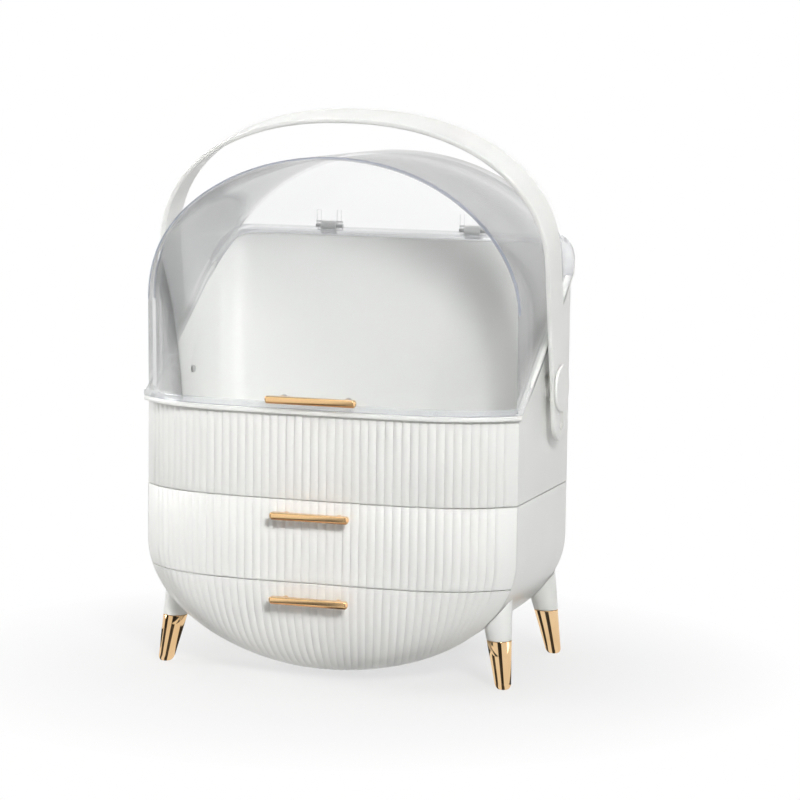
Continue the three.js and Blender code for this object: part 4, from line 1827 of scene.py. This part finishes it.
@dataclass
class Screws:
    """Cross-recessed steel screws, set on points by a Geometry Nodes tree, in millimetres."""

    head_radius: float = 2.6
    head_height: float = 1.6
    head_taper: float = 0.86
    head_sides: int = 32
    shaft_sides: int = 24
    recess: float = 0.55
    recess_share: float = 1.25
    sharp_turn: float = 35.0

    def shifted(
        self, tree: GeometryTree, shape: bpy.types.Node, z: bpy.types.NodeSocket
    ) -> bpy.types.NodeSocket:
        """Moves a mesh along Z inside a tree."""
        inputs = {"Geometry": shape.outputs["Mesh"], "Translation": tree.vector(0.0, 0.0, z)}
        return tree.add("GeometryNodeTransform", inputs).outputs[0]

    def tree(self) -> GeometryTree:
        """Builds the tree that stands a screw on each point, its head toward the point's aim.

        Returns:
            The tree.
        """
        made = GeometryTree("screws")
        shaft_radius, length = made.ask("Shaft radius"), made.ask("Length")
        head_radius, head_height = made.ask("Head radius"), made.ask("Head height")
        recess = made.ask("Recess width")
        half_head = made.sum("MULTIPLY", head_height, 0.5)
        shaft = made.add(
            "GeometryNodeMeshCylinder",
            {
                "Vertices": self.shaft_sides,
                "Radius": shaft_radius,
                "Depth": made.sum("SUBTRACT", length, half_head),
            },
        )
        middle = made.sum("MULTIPLY", made.sum("ADD", length, half_head), -0.5)
        shaft = self.shifted(made, shaft, middle)
        head = made.add(
            "GeometryNodeMeshCone",
            {
                "Vertices": self.head_sides,
                "Radius Top": made.sum("MULTIPLY", head_radius, self.head_taper),
                "Radius Bottom": head_radius,
                "Depth": head_height,
            },
        )
        head = self.shifted(made, head, made.sum("MULTIPLY", head_height, -1.0))
        reach = made.sum("MULTIPLY", head_radius, self.recess_share)
        cross = made.add("GeometryNodeMeshBoolean", {}, operation="UNION")
        for a, b in ((reach, recess), (recess, reach)):
            bar = made.add("GeometryNodeMeshCube", {"Size": made.vector(a, b, head_height)})
            made.links.new(bar.outputs["Mesh"], cross.inputs["Mesh 2"])
        cut = made.add("GeometryNodeMeshBoolean", {"Mesh 1": head}, operation="DIFFERENCE")
        made.links.new(cross.outputs["Mesh"], cut.inputs["Mesh 2"])
        whole = made.add("GeometryNodeJoinGeometry", {})
        made.links.new(shaft, whole.inputs[0])
        made.links.new(cut.outputs["Mesh"], whole.inputs[0])
        aims = {"Vector": made.stored("aim", "FLOAT_VECTOR")}
        aim = made.add("FunctionNodeAlignRotationToVector", aims, axis="Z")
        set_on = made.add(
            "GeometryNodeInstanceOnPoints",
            {"Points": made.start.outputs[0], "Instance": whole.outputs[0], "Rotation": aim.outputs[0]},
        )
        made.close(set_on.outputs[0])
        return made

    def dress(
        self, body_name: str, nodes: tuple, axis: int, sign: int, radius: float, finish: Finish
    ) -> None:
        """Puts a screw in place of each node.

        Args:
            body_name: Body that the screws ride on.
            nodes: The nodes that they stand for.
            axis: 0 for screws along X and 1 for screws along Y.
            sign: Which way the heads face along Y, or 0 for heads that face the middle.
            radius: Radius of the shafts.
            finish: Their finish.
        """
        points, aims, length = [], [], 0.0
        for node in nodes:
            low, high = (np.array(corner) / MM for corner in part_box(node))
            toward = sign or (-1 if low[axis] > 0 else 1)
            point = (low + high) / 2
            point[axis] = high[axis] if toward > 0 else low[axis]
            aim = np.zeros(3)
            aim[axis] = toward
            points.append(point)
            aims.append(aim)
            length = high[axis] - low[axis]
        made = mesh_object(f"{body_name}_screws", np.array(points), [])
        store(made, "aim", np.array(aims))
        values = {"Shaft radius": radius, "Length": length, "Head radius": self.head_radius}
        values |= {"Head height": self.head_height, "Recess width": self.recess}
        scaled = {name: value * MM for name, value in values.items()}
        self.tree().run(made, scaled | {"Finish": finish.material})
        shade(weld(made), self.sharp_turn)
        finish.dress(made)
        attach(made, body_name)
        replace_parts(made, *nodes)


@dataclass
class Feet:
    """White legs in gold caps, leaning outward toward the floor, in millimetres.

    The mouth edge's pairs step in from a cap's mouth and down from its top.
    """

    body: BodyForm
    x: float = 117.94
    front_y: float = -43.3
    back_y: float = 78.3
    flat_radius: float = 2.5
    round_height: float = 4.5
    bottom_radius: float = 5.5
    top_radius: float = 8.2
    cap_height: float = 31.0
    cap_wall: float = 1.2
    socket_depth: float = 12.0
    splay_x: float = 4.8
    splay_y: float = 5.0
    reach: float = 30.0
    round_steps: int = 9
    rings: tuple = (12.0, 20.0)
    mouth_drop: float = 0.5
    mouth_edge: tuple = ((0.12, 0.1), (0.4, 0.0))
    cap_sides: int = 64
    sharp_turn: float = 35.0

    def radius(self, z: float) -> float:
        """Radius of the outside at a height."""
        share = (z - self.round_height) / (self.cap_height - self.round_height)
        return self.bottom_radius + (self.top_radius - self.bottom_radius) * share

    def splay(self, made: bpy.types.Object, side: int, front: int) -> bpy.types.Object:
        """Shears an upright turned part to a foot's place.

        Args:
            made: The upright part.
            side: -1 for left and 1 for right.
            front: -1 for front and 1 for back.

        Returns:
            The same part.
        """
        shear = Matrix.Identity(4)
        shear[0][2] = -side * self.splay_x / self.cap_height
        shear[1][2] = -front * self.splay_y / self.cap_height
        shear.translation = (side * self.x, self.front_y if front < 0 else self.back_y, 0)
        return place(made, shear)

    def cap(self) -> list:
        """Profile of a gold cap.

        Returns:
            Pairs of radius and height, from the floor up.
        """
        made = [(0, 0)]
        for turn in np.linspace(0, math.pi / 2, self.round_steps):
            radius = self.flat_radius + (self.bottom_radius - self.flat_radius) * math.sin(turn)
            made.append((radius, self.round_height * (1 - math.cos(turn))))
        socket_z = self.cap_height - self.socket_depth
        made += [(self.radius(z), z) for z in (*self.rings, self.cap_height - self.mouth_drop)]
        made += [(self.top_radius - inward, self.cap_height - down) for inward, down in self.mouth_edge]
        made += [(self.top_radius - self.cap_wall, self.cap_height)]
        return made + [(self.radius(socket_z) - self.cap_wall, socket_z), (0, socket_z)]

    def leg(self) -> list:
        """Profile of a white leg.

        Returns:
            Pairs of radius and height, from the floor up.
        """
        gap = self.body.fit_gap
        low, shoulder = self.cap_height - self.socket_depth + gap, self.cap_height + gap
        top = self.cap_height + self.reach
        inner = self.cap_wall + gap
        made = [(0, low), (self.radius(low) - inner, low), (self.radius(shoulder) - inner, shoulder)]
        made += [(self.radius(shoulder) - gap, shoulder), (self.radius(shoulder + gap), shoulder + gap)]
        return made + [(self.radius(top), top), (0, top)]

    def dress(self, white: Finish, gold: Finish) -> None:
        """Builds and finishes the legs and caps as two pieces.

        Args:
            white: Finish of the legs.
            gold: Finish of the caps.
        """
        body = self.body
        rows = (("front", -1), ("back", 1))
        corners = [(row, front, name, side) for row, front in rows for name, side in SIDES]
        legs, caps = [], []
        for _, front, _, side in corners:
            leg = self.splay(lathe("leg", self.leg()), side, front)
            shell = body.block(body.bottom_z, body.upper_seam_z, -body.fit_gap)
            legs.append(combine(leg, Cut.REMOVE, shell))
            caps.append(self.splay(lathe("foot_cap", self.cap(), self.cap_sides), side, front))
        kinds = (("legs", legs, white, "leg"), ("foot_caps", caps, gold, "foot_cap"))
        for name, parts, finish, prefix in kinds:
            made = shade(join(name, parts), self.sharp_turn)
            finish.dress(made)
            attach(made, "cabinet")
            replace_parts(made, *[f"{prefix}_{row}_{side_name}" for row, _, side_name, _ in corners])


# Studio


@dataclass(frozen=True)
class Lamp:
    """A rectangular area lamp, in metres, watts and degrees."""

    name: str
    spot: tuple
    size: tuple
    watts: float
    aim: tuple = (0.0, 0.0, 0.17)
    spread: float = 180.0

    def hang(self) -> None:
        """Hangs the lamp, turned toward its aim."""
        data = bpy.data.lights.new(self.name, "AREA")
        data.shape, data.energy, data.spread = "RECTANGLE", self.watts, math.radians(self.spread)
        data.size, data.size_y = self.size
        made = bpy.data.objects.new(self.name, data)
        bpy.context.scene.collection.objects.link(made)
        made.location = self.spot
        made.rotation_euler = (Vector(self.aim) - Vector(self.spot)).to_track_quat("-Z", "Y").to_euler()


@dataclass(frozen=True)
class Camera:
    """The camera at the photograph's angle, in degrees and millimetres."""

    yaw: float = 18.39
    pitch: float = 7.14
    roll: float = 0.82
    spot: tuple = (641.996, -1839.239, 421.348)
    lens: float = 132.95
    sensor: float = 36.0
    near: float = 50.0
    far: float = 50000.0

    def build(self) -> None:
        """Sets the camera."""
        a, e, r = (math.radians(v) for v in (self.yaw, self.pitch, self.roll))
        back = Vector((math.sin(a) * math.cos(e), -math.cos(a) * math.cos(e), math.sin(e)))
        right = Vector((math.cos(a), math.sin(a), 0))
        up = back.cross(right)
        level = math.cos(r) * right + math.sin(r) * up
        upward = -math.sin(r) * right + math.cos(r) * up
        data = bpy.data.cameras.new("camera")
        data.lens, data.sensor_width, data.sensor_fit = self.lens, self.sensor, "HORIZONTAL"
        data.clip_start, data.clip_end = self.near * MM, self.far * MM
        made = bpy.data.objects.new("camera", data)
        bpy.context.scene.collection.objects.link(made)
        turn = Matrix((level, upward, back)).transposed().to_4x4()
        made.matrix_world = Matrix.Translation(Vector(self.spot) * MM) @ turn
        bpy.context.scene.camera = made


@dataclass(frozen=True)
class Flags:
    """Two dark upright flags round the object, which only glossy rays see and polished metal mirrors.

    Each turn is a pair of the middle and half the width of a flag, in degrees from straight ahead.
    """

    turns: tuple = ((-62.0, 16.0), (17.0, 16.0))
    fade: float = 3.0
    dark: float = 0.02

    def tone(
        self, tree: NodeTree, where: bpy.types.NodeSocket, glossy: bpy.types.NodeSocket
    ) -> bpy.types.NodeSocket:
        """Adds the flags to a tree.

        Args:
            tree: The tree.
            where: Direction or place, seen from the object.
            glossy: Whether the ray is a glossy one.

        Returns:
            The socket of a colour that is white, and near black at the flags for glossy rays.
        """
        split = tree.add("ShaderNodeSeparateXYZ", {0: where})
        ahead = tree.sum("MULTIPLY", split.outputs[1], -1.0)
        turn = tree.sum("ARCTAN2", split.outputs[0], ahead)
        ramp = tree.add("ShaderNodeValToRGB", {0: tree.remap(turn, (-math.pi, math.pi), (0.0, 1.0))})
        stops = ramp.color_ramp.elements
        stops[0].color = stops[1].color = WHITE
        for middle, half in self.turns:
            beside = half + self.fade
            for away, tone in ((-beside, 1.0), (-half, self.dark), (half, self.dark), (beside, 1.0)):
                stops.new((middle + away + 180) / 360).color = (tone, tone, tone, 1)
        return tree.blend(glossy, WHITE, ramp.outputs[0])


@dataclass
class Studio:
    """Pale floor, white surround and soft lamps, in metres."""

    feet: Feet
    flags: Flags = Flags()
    gloss_share: float = 0.9
    floor_half: float = 6.0
    floor_z: float = -0.0004
    floor_grey: tuple = (0.6, 0.6, 0.595)
    floor_roughness: float = 0.9
    floor_specular: float = 0.1
    fade_span: tuple = (0.1, 0.3)
    fade: tuple = (0.7, 1.0)
    row_limit: float = -0.03
    glow: tuple = (0.985, 1.0, 0.985)
    glow_level: float = 0.17
    lamps: tuple = (
        Lamp("key", (1.2, -1.75, 1.4), (0.6, 0.6), 1.14, aim=(-0.1, 0.0, 0.18), spread=18.0),
        Lamp("left", (-2.1, -0.2, 0.8), (0.8, 1.2), 31.0),
        Lamp("right", (2.0, 0.5, 0.6), (1.0, 1.0), 5.5),
        Lamp("top", (0.1, -0.2, 1.9), (1.0, 1.0), 6.0),
    )

    def from_foot(self, tree: NodeTree, where: bpy.types.NodeSocket) -> bpy.types.NodeSocket:
        """Places on the floor, counted from the nearest foot.

        Args:
            tree: The floor's tree.
            where: Place on the floor.

        Returns:
            The shifted place.
        """
        feet = self.feet
        axes = tree.add("ShaderNodeSeparateXYZ", {0: where})
        foot_x = tree.sum("MULTIPLY", tree.sum("SIGN", axes.outputs[0]), feet.x * MM)
        behind = tree.sum("GREATER_THAN", axes.outputs[1], self.row_limit)
        foot_y = tree.remap(behind, (0.0, 1.0), (feet.front_y * MM, feet.back_y * MM))
        foot = tree.add("ShaderNodeCombineXYZ", {0: foot_x, 1: foot_y}).outputs[0]
        return tree.add("ShaderNodeVectorMath", {0: where, 1: foot}, operation="SUBTRACT").outputs[0]

    def floor(self) -> None:
        """Makes the floor, white far off and shaded near the object."""
        half, z = self.floor_half / MM, self.floor_z / MM
        corners = np.array([(-half, -half, z), (half, -half, z), (half, half, z), (-half, half, z)])
        made = mesh_object("floor", corners, [[0, 1, 2, 3]])
        finish = Finish("floor_white", Slot.WHITE)
        finish.set(Base_Color=(*self.floor_grey, 1), Roughness=self.floor_roughness)
        finish.set(Specular_IOR_Level=self.floor_specular)
        where = finish.add("ShaderNodeTexCoord", {}).outputs["Object"]
        far = finish.add("ShaderNodeVectorMath", {0: where}, operation="LENGTH").outputs["Value"]
        path = finish.add("ShaderNodeLightPath", {})
        camera, glossy = path.outputs["Is Camera Ray"], path.outputs["Is Glossy Ray"]
        seen = finish.sum("MULTIPLY", camera, finish.remap(far, self.fade_span, self.fade))
        share = finish.sum("MULTIPLY_ADD", glossy, self.gloss_share, seen)
        tone = self.flags.tone(finish, self.from_foot(finish, where), glossy)
        white = finish.add("ShaderNodeEmission", {"Color": tone, "Strength": 1.0})
        finish.show(finish.mix(share, finish.shader, white))
        made.data.materials.append(finish.material)

    def world(self) -> None:
        """Lights the surround: plain white where it is seen, softer where it lights."""
        made = bpy.data.worlds.new("surround")
        bpy.context.scene.world = made
        made.use_nodes = True
        tree = NodeTree(made.node_tree)
        tree.nodes.clear()
        path = tree.add("ShaderNodeLightPath", {})
        camera, glossy = path.outputs["Is Camera Ray"], path.outputs["Is Glossy Ray"]
        where = tree.add("ShaderNodeTexCoord", {}).outputs["Generated"]
        seen = tree.add("ShaderNodeBackground", {0: self.flags.tone(tree, where, glossy), 1: 1.0})
        lit = tree.add("ShaderNodeBackground", {0: (*self.glow, 1), 1: self.glow_level})
        rays = {0: glossy, 1: self.gloss_share, 2: camera}
        share = tree.add("ShaderNodeMath", rays, operation="MULTIPLY_ADD", use_clamp=True)
        mixed = tree.mix(share.outputs[0], lit, seen)
        tree.add("ShaderNodeOutputWorld", {"Surface": mixed.outputs[0]})

    def build(self) -> None:
        """Builds the floor, the surround and the lamps."""
        bpy.context.scene.view_settings.view_transform = "Standard"
        self.floor()
        self.world()
        for lamp in self.lamps:
            lamp.hang()


def main() -> None:
    """Builds the studio and every piece in order, and reports each."""
    logging.basicConfig(level=logging.INFO, format="%(message)s")
    body = BodyForm()
    lid_form, hinges, feet = LidForm(body), Hinges(body), Feet(body)
    white, clear = WhitePlastic().make(), ClearPlastic().make()
    satin, steel = RoseGold().make(), Steel().make()
    polished = RoseGold(
        name="rose_gold_polished",
        pale=(0.88, 0.62, 0.36),
        deep=(0.8, 0.53, 0.28),
        roughness=(0.03, 0.07),
        grain=(90, 90, 20),
    ).make()
    Camera().build()
    Studio(feet).build()
    LOG.info("studio ready")
    cabinet = Cabinet(body)
    cabinet.dress(white)
    LOG.info("cabinet ready")
    Tray(body, hinges).dress(white)
    LOG.info("tray ready")
    upper, lower = Drawers(body, cabinet.shelf).make()
    for drawer in (upper, lower):
        drawer.dress(white)
        LOG.info("%s ready", drawer.name)
    lid = Lid(lid_form, hinges, PullFit(z=185.9, length=62.0))
    lid.dress(clear)
    hinges.build_pins(steel)
    LOG.info("lid ready")
    handle = CarryHandle()
    handle.dress(white)
    PivotCaps(body, handle).dress(white)
    LOG.info("handle ready")
    face = (body.bottom_z, body.upper_seam_z + OVERRUN, -body.fit_gap)
    Pull(body, "lid_bar", "lid", lid.pull).dress(lid_form.block(-body.fit_gap), satin)
    Pull(body, "upper_bar", upper.name, upper.pull).dress(body.block(*face), satin)
    Pull(body, "lower_bar", lower.name, lower.pull).dress(body.block(*face), satin)
    LOG.info("pulls ready")
    screws = Screws()
    nodes = ("pivot_screw_left", "pivot_screw_right")
    screws.dress("handle_pivots", nodes, 0, 0, handle.pivot.screw_radius, steel)
    for name, owner, fit in (
        ("lid", "lid", lid.pull),
        ("upper", upper.name, upper.pull),
        ("lower", lower.name, lower.pull),
    ):
        nodes = tuple(f"{name}_pull_screw_{side}" for side, _ in SIDES)
        screws.dress(owner, nodes, 1, 1, fit.screw_radius, steel)
    LOG.info("screws ready")
    feet.dress(white, polished)
    LOG.info("feet ready")


if __name__ == "__main__":
    main()
